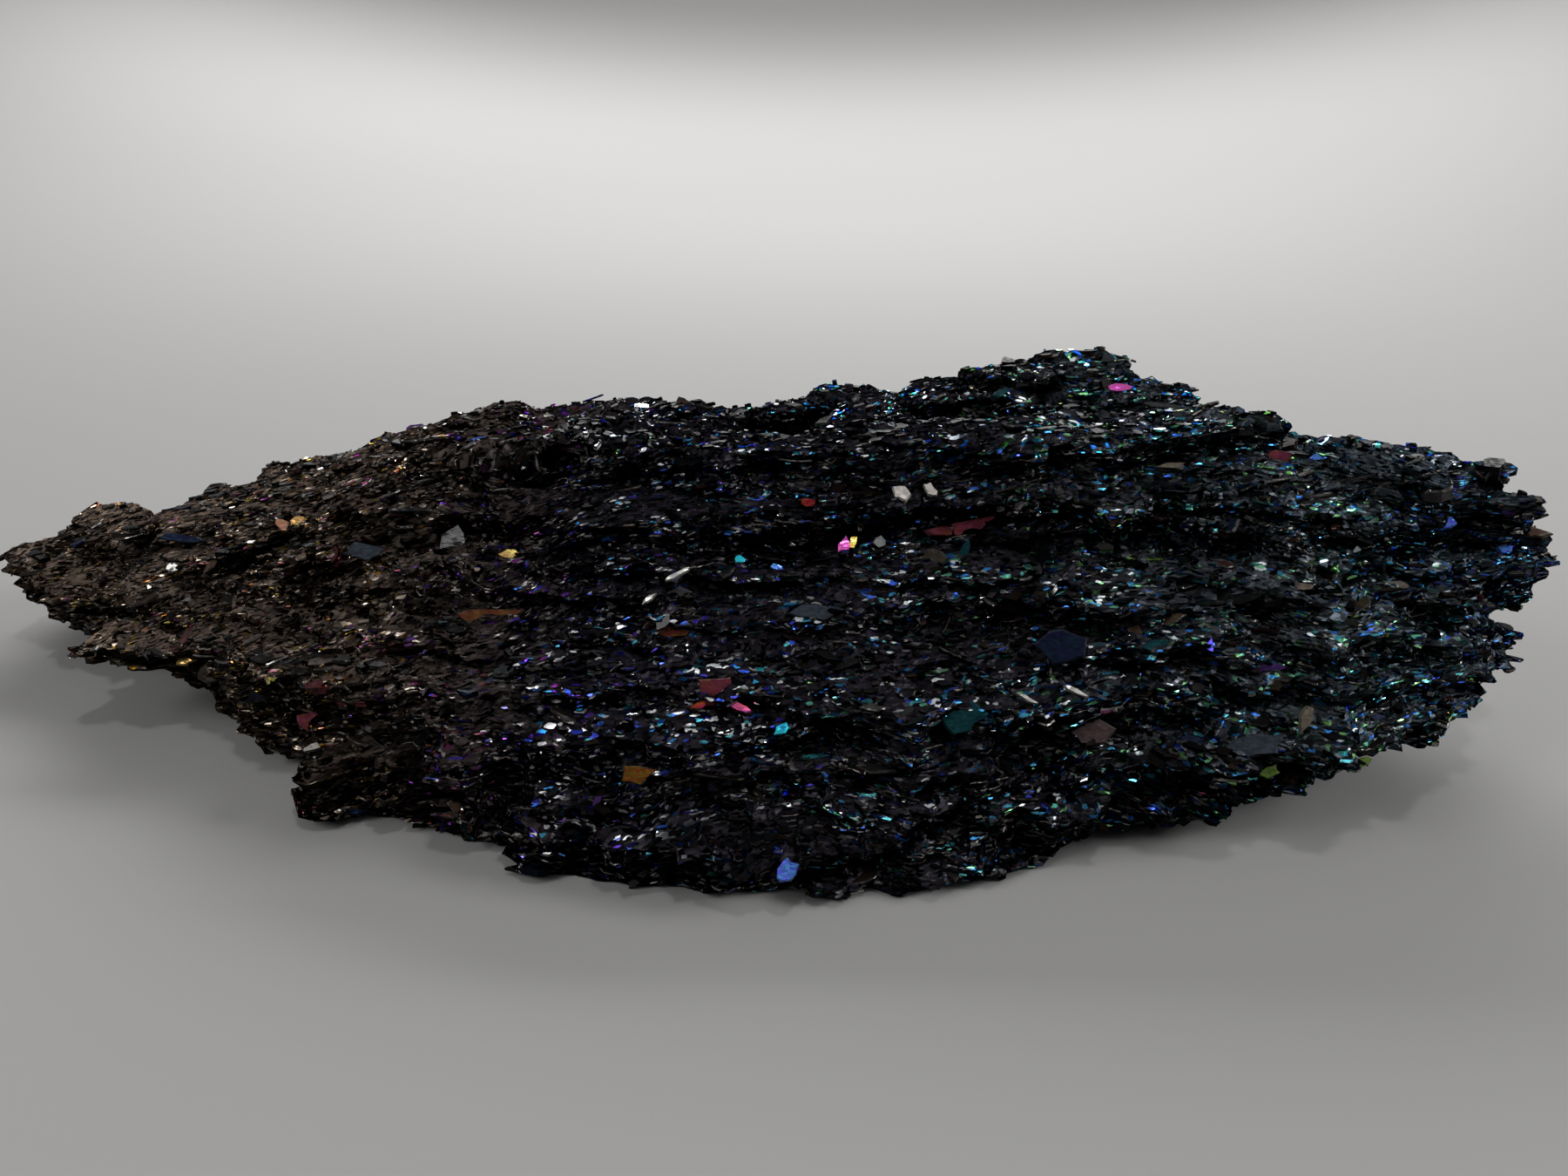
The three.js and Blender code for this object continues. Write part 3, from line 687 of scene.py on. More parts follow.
def grain(tree, place, size, lean):
    """Tiny crystals in a surface: cells of a pattern, of the given size along x, y and z of place, each
    with random numbers of its own. Their borders are bent by noise. The normal of a cell is the surface
    normal plus lean * (random vector - 0.5), made unit. Returns the normal and the random colour of the
    cells."""
    bend = add(tree, "ShaderNodeTexNoise", Vector=place, Scale=0.8 / size[0], Detail=2).outputs["Color"]
    shifted = vectors(tree, "MULTIPLY_ADD", bend, [1.6 * side for side in size], place)
    stretch = add(tree, "ShaderNodeMapping", Vector=shifted, Scale=[1 / side for side in size])
    cells = add(tree, "ShaderNodeTexVoronoi", Vector=stretch.outputs["Vector"], Scale=1).outputs["Color"]
    centred = vectors(tree, "SUBTRACT", cells, (0.5, 0.5, 0.5))
    surface = add(tree, "ShaderNodeNewGeometry").outputs["Normal"]
    leaning = vectors(tree, "ADD", surface, scaled(tree, centred, lean))
    return vectors(tree, "NORMALIZE", leaning), cells


def plate_material():
    """Plates whose colour, gloss and metal come from their own attributes. The tiny crystals in them lean
    their own way and differ in shade and hue, more so where the grain is stronger. Stains make them darker
    or paler, and glossier where they are pale."""
    tree, shader = new_material("tarnished_plates")
    strength = attribute(tree, "grain")
    place = object_place(tree)
    normal, cells = grain(tree, place, (0.28 * MM, 0.28 * MM, 0.09 * MM), strength)
    chance = add(tree, "ShaderNodeSeparateColor", Color=cells).outputs
    level = maths(tree, "MULTIPLY_ADD", spread(tree, chance["Green"], (0, 1), (-0.8, 0.9)), strength, 1)
    hue = spread(tree, chance["Red"], (0, 1), (0.46, 0.54))
    shade = add(tree, "ShaderNodeHueSaturation", Hue=hue, Value=level, Color=attribute(tree, "tint", "Color"))
    texture = {"Scale": 1 / STAIN_SIZE, "Detail": 3, "Roughness": 0.65}
    stains = add(tree, "ShaderNodeTexNoise", Vector=place, **texture).outputs["Fac"]
    gloss = spread(tree, stains, (0, 1), (1.4, 0.6))
    set_inputs(
        tree,
        shader,
        Base_Color=scaled(tree, shade.outputs["Color"], spread(tree, stains, (0, 1), (0.3, 1.7))),
        Roughness=maths(tree, "MULTIPLY", attribute(tree, "roughness"), gloss),
        Metallic=attribute(tree, "metal"),
        Normal=normal,
        Specular_IOR_Level=0.04,
    )


def ramp(tree, value, stops):
    """A colour ramp read at a value, from a list of (position, colour)."""
    node = add(tree, "ShaderNodeValToRGB", Fac=value)
    elements = node.color_ramp.elements
    for at, _ in stops[1:-1]:
        elements.new(at)
    for element, (at, shade) in zip(elements, stops):
        element.position = at
        element.color = (*shade, 1)
    return node.outputs["Color"]


def along_ramp(tree, along, values):
    """Colours or numbers that go with ZONES, read along the chunk. along runs from 0 at the tip to 1."""
    positions = (ZONES - LOW[0]) / (HIGH[0] - LOW[0])
    shades = [(value,) * 3 if np.isscalar(value) else tuple(value) for value in values]
    return ramp(tree, along, list(zip(positions, shades)))


def layer_noise(tree, size, detail):
    """Noise in the coordinates of the layers, of the given size along x, y and the upright."""
    layers = attribute(tree, "layered", "Vector")
    stretch = add(tree, "ShaderNodeMapping", Vector=layers, Scale=[1 / side for side in size])
    noise = add(tree, "ShaderNodeTexNoise", Vector=stretch.outputs["Vector"], Scale=1, Detail=detail)
    return noise.outputs["Fac"]


def film_cells(tree, finish, along, chance):
    """The colour of each clean cell: silvery, or that of an oxide film about as thick as at its place."""
    least, most = 200, 420  # nanometres that the ramp of colours spans
    mean = along_ramp(tree, along, (mean_films(finish) - least) / (most - least))
    share = maths(tree, "ADD", mean, spread(tree, chance["Red"], (0, 1), (-0.14, 0.14)))
    stops = np.linspace(0, 1, 14)
    films = ramp(tree, share, list(zip(stops, film_colour(least + (most - least) * stops))))
    over = maths(tree, "SUBTRACT", along_ramp(tree, along, SILVER), chance["Blue"])
    silver = along_ramp(tree, along, 1.2 * np.array(SILVER_COLOURS))
    return mixed(tree, maths(tree, "GREATER_THAN", over, 0), films, silver)


def matrix_material(finish):
    """The dark crust: near black and full of tiny crystals. Clean ones glint in streaks along the layers, and
    some of them have the colour of the oxide films, which follow the length of the chunk. Between the streaks
    lie dull stretches, brown at the tip, and the broken edges of the thinnest layers show as pale lines,
    which are also a painted highlight of those edges catching the light. The attribute dull is painted light
    on what
    looks up: it takes the glints and the pale lines away there, and makes the dull colour up to four times
    lighter and rougher."""
    tree, shader = new_material("dark_matrix")
    streaks = layer_noise(tree, (5 * MM, 5 * MM, 0.9 * MM), detail=3)
    worn = layer_noise(tree, (9 * MM, 9 * MM, 3 * MM), detail=2)
    # painted light on what looks up: the glints and pale lines are taken away there, and the dull colour is
    # made lighter and rougher
    dull = attribute(tree, "dull")
    matte = maths(tree, "MAXIMUM", spread(tree, worn, (0.5, 0.62), (0, 1)), dull)
    lean = spread(tree, matte, (0, 1), (1.5, 0.4))
    layers = attribute(tree, "layered", "Vector")
    normal, cells = grain(tree, layers, (0.45 * MM, 0.35 * MM, 0.1 * MM), lean)
    chance = add(tree, "ShaderNodeSeparateColor", Color=cells).outputs
    axes = add(tree, "ShaderNodeSeparateXYZ", Vector=object_place(tree))
    along = spread(tree, axes.outputs["X"], (LOW[0], HIGH[0]), (0, 1))

    level = spread(tree, chance["Green"], (0.82, 1), (0.05, 4))
    for factor in (
        along_ramp(tree, along, SHINE / max(SHINE)),
        spread(tree, streaks, (0.44, 0.62), (0.05, 2.6)),
        spread(tree, worn, (0.45, 0.62), (1.4, 0.06)),
        spread(tree, dull, (0, 1), (1, 0.1)),
    ):
        level = maths(tree, "MULTIPLY", level, factor)
    glints = scaled(tree, film_cells(tree, finish, along, chance), maths(tree, "MINIMUM", level, BRIGHTEST))

    shades = finish.tip_matrix, finish.middle_matrix, finish.end_matrix
    tip, middle, end = (np.array(shade) for shade in shades)
    earth = along_ramp(tree, along, (tip, 0.5 * tip, middle, 1.3 * middle, 0.9 * end, end))
    earth = scaled(tree, earth, spread(tree, chance["Red"], (0, 1), (0.3, 1.7)))
    earth = scaled(tree, earth, spread(tree, dull, (0, 1), (1, 4)))
    cleaned = mixed(tree, maths(tree, "GREATER_THAN", chance["Green"], GLINTING), earth, glints)

    edges = layer_noise(tree, (4 * MM, 4 * MM, 0.5 * MM), detail=3)
    patches = layer_noise(tree, (3 * MM, 3 * MM, 1.2 * MM), detail=2)
    # pale lines: the broken edges of the thinnest layers, and a painted highlight where those edges catch the
    # light
    pale = maths(tree, "COMPARE", edges, 0.5, 0.011)
    pale = maths(tree, "MULTIPLY", pale, spread(tree, patches, (0.45, 0.6), (0, 1)))
    pale = maths(tree, "MULTIPLY", pale, spread(tree, dull, (0, 0.6), (1, 0)))
    set_inputs(
        tree,
        shader,
        Base_Color=mixed(tree, pale, cleaned, PALE_LIT_LINE),
        Roughness=spread(tree, maths(tree, "MAXIMUM", matte, pale), (0, 1), (0.2, 0.6)),
        Metallic=1,
        Normal=normal,
        Specular_Tint=CRUST_TINT,
    )


def clear_material():
    """Clear silicon carbide: it lets light through, bends it strongly and takes up a little of it."""
    tree, shader = new_material("clear_crystal")
    normal, _ = grain(tree, object_place(tree), (0.5 * MM, 0.5 * MM, 0.12 * MM), 0.06)
    clear = {"Transmission_Weight": 1, "IOR": CARBIDE_INDEX, "Roughness": 0.03}
    set_inputs(tree, shader, Base_Color=(0.9, 0.93, 0.95, 1), Normal=normal, **clear)


def floor_material(stage):
    """A plain pale floor with no shine."""
    tree, shader = new_material("pale_floor")
    set_inputs(tree, shader, Base_Color=(*stage.floor_color, 1), Roughness=0.9, Specular_IOR_Level=0.1)


# ---- the plates ----


def tarnish(place, rng):
    """A dull colour for each place, drawn by the shares of its zone, and darker by chance."""
    shares = np.stack([zone(place, share) for _, share in TARNISH.values()])
    limit = np.cumsum(shares, axis=0) / shares.sum(axis=0)
    pick = np.minimum((rng.random(len(place)) > limit).sum(axis=0), len(TARNISH) - 1)
    colours = np.array([shade for shade, _ in TARNISH.values()])[pick]
    level = zone(place, TARNISH_LEVELS)[:, None]
    return colours * level * rng.uniform(0.1, 1, (len(place), 1)) ** 2.5


def opaque(colours):
    """Colours with an alpha of 1."""
    return np.concatenate([colours, np.ones((len(colours), 1))], axis=1)


def per_face(flat, band, corners, bands):
    """One value for the top and the bottom of each prism, and one for its sides, in the order of the faces.
    Below the first band the sides are as the flat faces."""
    sides = [np.repeat(value, corners, axis=0) for value in (band, *[flat] * (bands - 1))]
    return np.concatenate([flat, flat, *sides])


def draw_kinds(count, mix, rng):
    """The surface of each plate, drawn by the shares in mix: ROUGH, DULL or CLEAN."""
    return (rng.random((count, 1)) > np.cumsum(mix)[:2]).sum(axis=1)


def plate_values(growth, place, kind, painted_upward_shade, finish, rng):
    """Colour, roughness, metal and grain for each face of many prisms, and whether the face is as rough as
    the crust. Of the clean plates, some are silvery, and the rest carry a coloured film. Some have sides
    that are pale, as broken sides are and as a painted highlight of the rim catching the light, and the sides
    of the others are as their faces. The factor for all of the colours is painted shade: it is smaller where
    the plate looks up."""
    count = len(place)
    is_dull = kind == DULL
    is_silver = rng.random(count) < zone(place, SILVER)
    shine = finish.shine * zone(place, SHINE)[:, None] * rng.lognormal(-0.3, 1, (count, 1))
    # painted highlight: the plates on the back ridge are made up to 1.9 times shinier, where most plates
    # catch the light
    shine *= 1 + 0.9 * back_ridge(place)[:, None]
    film = film_colour(film_at(place, finish) + rng.normal(0, FILM_VARY, count))
    film = film * np.clip(shine, 0, FILM_MOST)
    silver = np.stack([zone(place, part) for part in zip(*SILVER_COLOURS)], axis=-1)
    silver = np.clip(SILVER_SHINE * shine, 0, SILVER_MOST) * silver
    face = np.where(is_silver[:, None], silver, film)
    face = np.where(is_dull[:, None], tarnish(place, rng), face)
    roughness = np.where(is_dull, rng.uniform(*DULL_ROUGHNESS, count), rng.uniform(*CLEAN_ROUGHNESS, count))
    # pale sides: broken, and a painted highlight of the rim catching the light
    pale = (rng.random(count) < growth.pale)[:, None]
    edge = np.where(pale, rng.uniform(*PALE_LIT_SIDES, (count, 1)) * PALE_LIT_TINT, face)
    face, edge = face * painted_upward_shade, edge * painted_upward_shade
    metal = np.where(is_dull, DULL_METAL, 1)
    grain_of_face = np.where(is_dull, DULL_GRAIN, CLEAN_GRAIN)
    rough = kind == ROUGH
    shape = growth.corners, len(growth.levels) - 1
    return {
        "tint": opaque(per_face(face, edge, *shape)),
        "roughness": per_face(roughness, np.full(count, SIDE_ROUGHNESS), *shape),
        "metal": per_face(metal, np.where(pale[:, 0], PALE_LIT_METAL, 1), *shape),
        "grain": per_face(grain_of_face, np.full(count, SIDE_GRAIN), *shape),
    }, per_face(rough, rough & ~pale[:, 0], *shape)


def rim_directions(upright, normal, swing, rng):
    """The direction of each plate's length: along the rim of its layer, upright x surface normal, swung about
    the upright by chance. Where the surface is level, it starts from the length of the chunk."""
    rim = np.cross(upright, normal)
    rim[np.linalg.norm(rim, axis=1) < 0.25] = [1, 0, 0]
    rim = unit(rim - dot(rim, upright) * upright)
    angle = rng.normal(0, swing, (len(rim), 1))
    return rim * np.cos(angle) + np.cross(upright, rim) * np.sin(angle)


def tipped(upright, lean, rng):
    """Uprights tipped by chance by about lean, which is one angle or one for each."""
    return unit(upright + rng.normal(0, 1, upright.shape) * np.reshape(lean, (-1, 1)))


def half_extent(along, upright, normal, size):
    """Half of each plate's extent along the normal: |along . n| length / 2 + |across . n| width / 2."""
    length, width, _ = size
    across = np.cross(upright, along)
    return np.abs(dot(along, normal)) * length[:, None] / 2 + np.abs(dot(across, normal)) * width[:, None] / 2


def lifted(points):
    """Points of prisms, each lifted where it would reach below what the chunk rests on."""
    points[..., 2] += np.maximum(0, CLEARANCE - points[..., 2].min(axis=1))[:, None]
    return points


def plate_piece(name, points, corners, levels, values, materials, slots=None):
    """The object of many prisms, riding on the chunk's body. slots gives the material of each face."""
    count = len(points)
    piece = mesh_object(name, points.reshape(-1, 3), prism_rings(count, corners, levels), values)
    bake_map(piece, count, corners, levels)
    set_vectors(piece.data, "layered", layered(points.reshape(-1, 3)))
    for material in materials:
        piece.data.materials.append(bpy.data.materials[material])
    if slots is not None:
        piece.data.polygons.foreach_set("material_index", slots.astype(np.int32))
    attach(piece, "root")


def grow(name, growth, place, normal, upright, size, kind, finish, rng):
    """One piece of many plates, each lying across its own upright. A plate's middle is sunk along the surface
    normal by about half of its extent there, less a share of proud, so that a plate stands out of the surface
    by little more than proud. What looks up is painted darker, as painted shade."""
    along = rim_directions(upright, normal, growth.swing, rng)
    column = (len(place), 1)
    out = growth.proud * rng.uniform(-0.5, 1, column)
    out = out - half_extent(along, upright, normal, size) * rng.uniform(0.85, 1.1, column)
    points = prism_points(place + out * normal, along, upright, size, growth.corners, growth.levels, rng)
    points = lifted(points)
    # painted shade: the colours of a plate that looks up are made up to four fifths darker
    painted_upward_shade = 1 - 0.8 * np.clip(normal[:, 2:], 0, 1) ** UPWARD_POWER
    values, rough = plate_values(growth, points.mean(axis=1), kind, painted_upward_shade, finish, rng)
    materials = ("tarnished_plates", "dark_matrix")
    plate_piece(name, points, growth.corners, growth.levels, values, materials, rough)


def settings_of(context):
    """The settings of the plates, of their finish and of the stage."""
    scene = context.scene
    return scene.carborundum_plates, scene.carborundum_finish, scene.carborundum_stage


def grow_in_parts(growth, count, typical, context):
    """Plates of one kind all over the chunk, in one piece for each name, from the tip to the ragged end. The
    clean ones are smaller than the others, and about one in five leans further off its layer."""
    plates, finish, _ = settings_of(context)
    rng = np.random.default_rng(plates.seed + growth.seed)
    place, normal = scatter(count, rng)
    order = np.argsort(place[:, 0], kind="stable")
    for name, chosen in zip(growth.pieces, np.array_split(order, len(growth.pieces))):
        few = len(chosen)
        kind = draw_kinds(few, growth.mix, rng)
        lengths = typical * zone(place[chosen], SIZES)
        lengths = lengths * np.minimum(rng.lognormal(0, growth.vary, few), growth.longest)
        lengths *= np.where(kind == CLEAN, zone(place[chosen], CLEAN_SIZES), 1)
        widths = lengths * rng.uniform(*growth.slender, few)
        size = (lengths, widths, growth.thick * plates.thickness * rng.lognormal(0, 0.4, few))
        lean = np.where(rng.random(few) < FAR_LEANING, FAR_LEAN, NEAR_LEAN)
        upright = tipped(layer_normals(place[chosen]), lean, rng)
        grow(name, growth, place[chosen], normal[chosen], upright, size, kind, finish, rng)


def grow_larger(growth, place, normal, upright, typical, context, rng):
    """Plates of one kind with uprights of their own, in one piece, of one typical size all over the chunk."""
    plates, finish, _ = settings_of(context)
    count = len(place)
    lengths = typical * np.minimum(rng.lognormal(0, growth.vary, count), growth.longest)
    widths = lengths * rng.uniform(*growth.slender, count)
    size = (lengths, widths, growth.thick * plates.thickness * rng.uniform(1, 2.2, count))
    kind = draw_kinds(count, growth.mix, rng)
    grow(growth.pieces[0], growth, place, normal, upright, size, kind, finish, rng)


def set_plates(rows, thickness, corners, levels, rng, proud):
    """Points of single plates, given one by one. Each row gives place, length, width, turn and lean. The
    upright leans from level towards the front, and the length starts crosswise and is turned about it. The
    place is moved to the nearest point of the crust, 0.2 mm along the upright, out by proud, and then in by
    0.45 of half of the plate's extent along the normal there, so that a plate that stands off the crust is
    partly buried."""
    rows = np.array(rows, float)
    count = len(rows)
    mesh = bpy.data.objects["crust"].data
    tree = BVHTree.FromPolygons([v.co for v in mesh.vertices], [face.vertices for face in mesh.polygons])
    nearest = [tree.find_nearest(Vector(at)) for at in rows[:, :3] * MM]
    place, normal = np.array([hit[0] for hit in nearest]), np.array([hit[1] for hit in nearest])
    turn, lean = np.radians(rows[:, 5:6]), np.radians(rows[:, 6:7])
    upright = np.concatenate([np.zeros_like(lean), -np.sin(lean), np.cos(lean)], axis=1)
    upright = tipped(upright, 0.04, rng)
    cross = unit(np.cross([0, 1, 0.2], upright))
    along = unit(cross * np.cos(turn) + np.cross(upright, cross) * np.sin(turn))
    size = (rows[:, 3] * MM, rows[:, 4] * MM, np.broadcast_to(thickness, count))
    buried = 0.45 * half_extent(along, upright, normal, size)
    middle = place + 0.2 * MM * upright + (proud - buried) * normal
    return lifted(prism_points(middle, along, upright, size, corners, levels, rng))


# ---- the crust ----


def above_foot(points):
    """0 on the flat foot, and 1 from FOOT_FADE on."""
    return np.clip(points[:, 2] / FOOT_FADE, 0, 1)


def fitted(points):
    """Points of the crust, moved smoothly to the chunk's own outline: the top by TOP_RISE, the underside by
    FOOT_RISE, the tip in by 1.3 mm, and the upper corner of the ragged end out by 1.6 mm."""
    share = height_share(points)
    x = points[:, 0] / MM
    rise = share * np.interp(x, *TOP_RISE) + (1 - share) * np.interp(x, *FOOT_RISE)
    reach = 1.3 * np.clip((-45 - x) / 6, 0, 1)
    reach += 1.6 * np.clip((x - 43) / 6, 0, 1) * np.clip(2.2 * share - 1, 0, 1)
    return points + MM * np.stack([reach, 0 * x, rise * above_foot(points)], axis=-1)


def crumbled(points, normals, depth):
    """Points of the crust, moved to stand in ragged thin layers. Within a layer the edge moves out and in
    along the chunk by waves about 3 and 1 mm long, which differ from layer to layer, and it falls back in
    the crease between two layers. Waves of 7 mm move neighbouring layers together. Every fourth crease or
    so is a deep groove that comes and goes along the chunk. All of that is level with the layers, and
    weaker on the ragged end. Clumps of about 5 and 2 mm are added along the normals: 0.7 * (0.45 - |w|) +
    0.5 * (0.45 - |v|), where w and v are waves, so that the creases between clumps are sharp. Faces that
    look up are lifted by 0.6 more, for what the crust has lost there as it was worn. All of these are
    shares of the depth, the level ones times 0.75 and those along the normals times 0.6, and near the foot
    they die out."""
    level = layer_level(points)
    layer = np.floor(level)
    crease = np.abs(2 * (level - layer) - 1) ** 3
    own = np.stack([points[:, 0], points[:, 1], 40 * MM * layer], axis=-1)
    edge = 0.8 * waves(own, 3 * MM, seed=44) + 0.6 * waves(own, 1.3 * MM, seed=45) - 0.8 * crease + 0.4
    edge += 0.8 * waves(points, 7 * MM, seed=46)
    group = level / 4 + 0.4 * waves(points, 20 * MM, seed=47)
    groove = np.abs(2 * (group - np.floor(group)) - 1) ** 6
    edge -= 2.2 * groove * np.clip(0.6 + 0.7 * waves(points, 12 * MM, seed=48), 0, 1)
    edge *= 1 - 0.45 * np.clip(normals[:, 0], 0, 1)
    flat = points * [1, 1, 2]
    clump = 0.7 * (0.45 - np.abs(waves(flat, 5 * MM, seed=41)))
    clump += 0.5 * (0.45 - np.abs(waves(flat, 2 * MM, seed=42)))
    clump += 0.6 * np.clip(normals[:, 2], 0, 1)
    upright = layer_normals(points)
    level_out = normals - dot(normals, upright) * upright
    fade = depth * above_foot(points)[:, None]
    moved = points + fade * (0.75 * edge[:, None] * level_out + 0.6 * clump[:, None] * normals)
    moved[:, 2] = np.maximum(moved[:, 2], 0)
    return moved


def even_crust(context, side):
    """An object with the chunk's solid remade in even squares of the given side and smoothed."""
    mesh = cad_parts[CHUNK].data.copy()
    form = bmesh.new()
    form.from_mesh(mesh)
    bmesh.ops.remove_doubles(form, verts=form.verts, dist=0.0001 * MM)
    form.to_mesh(mesh)
    form.free()
    piece = bpy.data.objects.new("crust", mesh)
    context.scene.collection.objects.link(piece)
    even = piece.modifiers.new("even", "REMESH")
    even.mode = "VOXEL"
    even.voxel_size = side
    worn = piece.modifiers.new("worn", "SMOOTH")
    worn.factor, worn.iterations = 0.5, 6
    finished = piece.evaluated_get(context.evaluated_depsgraph_get())
    piece.data = bpy.data.meshes.new_from_object(finished)
    piece.modifiers.clear()
    return piece


# ---- the steps ----


class CARBORUNDUM_OT_crust(bpy.types.Operator):
    """Remake the chunk's solid as a crumbled crust, the dark mass between the plates"""

    bl_idname = "carborundum.crust"
    bl_label = "Crust"

    def execute(self, context):
        plates, finish, _ = settings_of(context)
        matrix_material(finish)
        plate_material()
        piece = even_crust(context, plates.crust_grain)
        mesh = piece.data
        smooth, normals = read(mesh.vertices, "co").astype(float), read(mesh.vertex_normals, "vector")
        moved = fitted(crumbled(smooth, normals, plates.crust_depth))
        mesh.vertices.foreach_set("co", moved.astype(np.float32).ravel())
        mesh.update()
        set_vectors(mesh, "layered", layered(moved))
        set_vectors(mesh, "outwards", normals)
        # painted light on the crust that looks up: there the dark matrix takes its glints away and makes its
        # dull colour lighter
        dull = np.clip(normals[:, 2], 0, 1) ** UPWARD_POWER
        mesh.attributes.new("dull", "FLOAT", "POINT").data.foreach_set("value", dull.astype(np.float32))
        mesh.materials.clear()
        mesh.materials.append(bpy.data.materials["dark_matrix"])
        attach(piece, "root")
        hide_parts(CHUNK)
        return {"FINISHED"}


class CARBORUNDUM_OT_splinters(bpy.types.Operator):
    """Grow the three-cornered splinters, in two pieces"""

    bl_idname = "carborundum.splinters"
    bl_label = "Splinters"

    def execute(self, context):
        plates, _, _ = settings_of(context)
        grow_in_parts(SPLINTERS, plates.splinter_count, plates.splinter_size, context)
        return {"FINISHED"}


class CARBORUNDUM_OT_fine_plates(bpy.types.Operator):
    """Grow the fine plates, in three pieces from the tip to the ragged end"""

    bl_idname = "carborundum.fine_plates"
    bl_label = "Fine plates"

    def execute(self, context):
        plates, _, _ = settings_of(context)
        grow_in_parts(FINE_PLATES, plates.fine_count, plates.fine_size, context)
        return {"FINISHED"}


class CARBORUNDUM_OT_broad_plates(bpy.types.Operator):
    """Grow the broad six-sided plates between the fine ones"""

    bl_idname = "carborundum.broad_plates"
    bl_label = "Broad plates"

    def execute(self, context):
        plates, _, _ = settings_of(context)
        grow_in_parts(BROAD_PLATES, plates.broad_count, plates.broad_size, context)
        return {"FINISHED"}


class CARBORUNDUM_OT_blocks(bpy.types.Operator):
    """Grow the short thick blocks that break the layers up"""

    bl_idname = "carborundum.blocks"
    bl_label = "Blocks"

    def execute(self, context):
        plates, _, _ = settings_of(context)
        grow_in_parts(BLOCKS, plates.block_count, plates.block_size, context)
        return {"FINISHED"}


class CARBORUNDUM_OT_slabs(bpy.types.Operator):
    """Grow the tarnished slabs that turn a face outwards"""

    bl_idname = "carborundum.slabs"
    bl_label = "Slabs"

    def execute(self, context):
        plates, _, _ = settings_of(context)
        rng = np.random.default_rng(plates.seed + SLABS.seed)
        place, normal = scatter(plates.slab_count, rng)
        turned = rng.uniform(0.35, 1.6, (len(place), 1))
        upright = tipped(layer_normals(place) + turned * normal, 0.2, rng)
        grow_larger(SLABS, place, normal, upright, plates.slab_size, context, rng)
        return {"FINISHED"}


class CARBORUNDUM_OT_laths(bpy.types.Operator):
    """Grow the long narrow laths, which show as pale lines along the rims of the layers"""

    bl_idname = "carborundum.laths"
    bl_label = "Laths"

    def execute(self, context):
        plates, _, _ = settings_of(context)
        rng = np.random.default_rng(plates.seed + LATHS.seed)
        place, normal = scatter(plates.lath_count, rng)
        upright = tipped(layer_normals(place), 0.16, rng)
        grow_larger(LATHS, place, normal, upright, plates.lath_size, context, rng)
        return {"FINISHED"}


class CARBORUNDUM_OT_facets(bpy.types.Operator):
    """Set the single plates that stand out"""

    bl_idname = "carborundum.facets"
    bl_label = "Single plates"

    def execute(self, context):
        plates, _, _ = settings_of(context)
        rng = np.random.default_rng(plates.seed + SINGLES_SEED)
        count, corners, bands = len(FACETS), 9, len(RIMMED) - 1
        rows = [row[:7] for row in FACETS]
        points = set_plates(rows, SINGLES_THICK * plates.thickness, corners, RIMMED, rng, 0.25 * MM)
        tint, metal, rough = (np.array(part) for part in zip(*(FACET_FINISHES[row[7]] for row in FACETS)))
        values = {
            "tint": opaque(per_face(tint, 0.6 * tint + 0.006, corners, bands)),
            "roughness": per_face(rough, rough, corners, bands),
            "metal": per_face(metal, metal, corners, bands),
            "grain": per_face(np.full(count, 0.2), np.full(count, 0.4), corners, bands),
        }
        plate_piece("single_plates", points, corners, RIMMED, values, ("tarnished_plates",))
        return {"FINISHED"}


class CARBORUNDUM_OT_clear_crystals(bpy.types.Operator):
    """Set the clear six-sided crystals"""

    bl_idname = "carborundum.clear_crystals"
    bl_label = "Clear crystals"

    def execute(self, context):
        plates, _, _ = settings_of(context)
        rng = np.random.default_rng(plates.seed + CLEAR_SEED)
        corners = 6
        thickness = np.array([row[7] for row in CLEAR_CRYSTALS]) * MM
        rows = [row[:7] for row in CLEAR_CRYSTALS]
        points = set_plates(rows, thickness, corners, RIMMED, rng, 0.5 * MM)
        clear_material()
        plate_piece("clear_crystals", points, corners, RIMMED, {}, ("clear_crystal",))
        return {"FINISHED"}


# ---- the stage ----


def bowl(radius, rise, bend, rings=40, sides=96):
    """The floor: points at distance r and turn t, level out to the radius and then bending up as a quarter
    circle does, z = rise * (1 - cos(e)) and r = radius + rise * sin(e), as far as bend quarter turns."""
    level = np.linspace(0, 1, rings // 2, endpoint=False) ** 2 * radius
    turned = np.linspace(0, np.pi / 2 * bend, rings // 2)
    r = np.concatenate([level[1:], radius + rise * np.sin(turned)])
    z = np.concatenate([level[1:] * 0, rise * (1 - np.cos(turned))])
    turn = np.linspace(0, 2 * np.pi, sides, endpoint=False)
    circles = [np.outer(r, np.cos(turn)), np.outer(r, np.sin(turn)), np.outer(z, np.ones(sides))]
    points = np.stack(circles, axis=-1)
    points = np.concatenate([[[0, 0, 0]], points.reshape(-1, 3)])
    step = np.arange(sides)
    after = (step + 1) % sides
    fan = np.stack([np.zeros(sides, int), 1 + step, 1 + after], axis=-1)
    inner = (1 + np.arange(len(r) - 1) * sides)[:, None]
    quads = np.stack([inner + step, inner + sides + step, inner + sides + after, inner + after], axis=-1)
    return points, [fan, quads.reshape(-1, 4)]


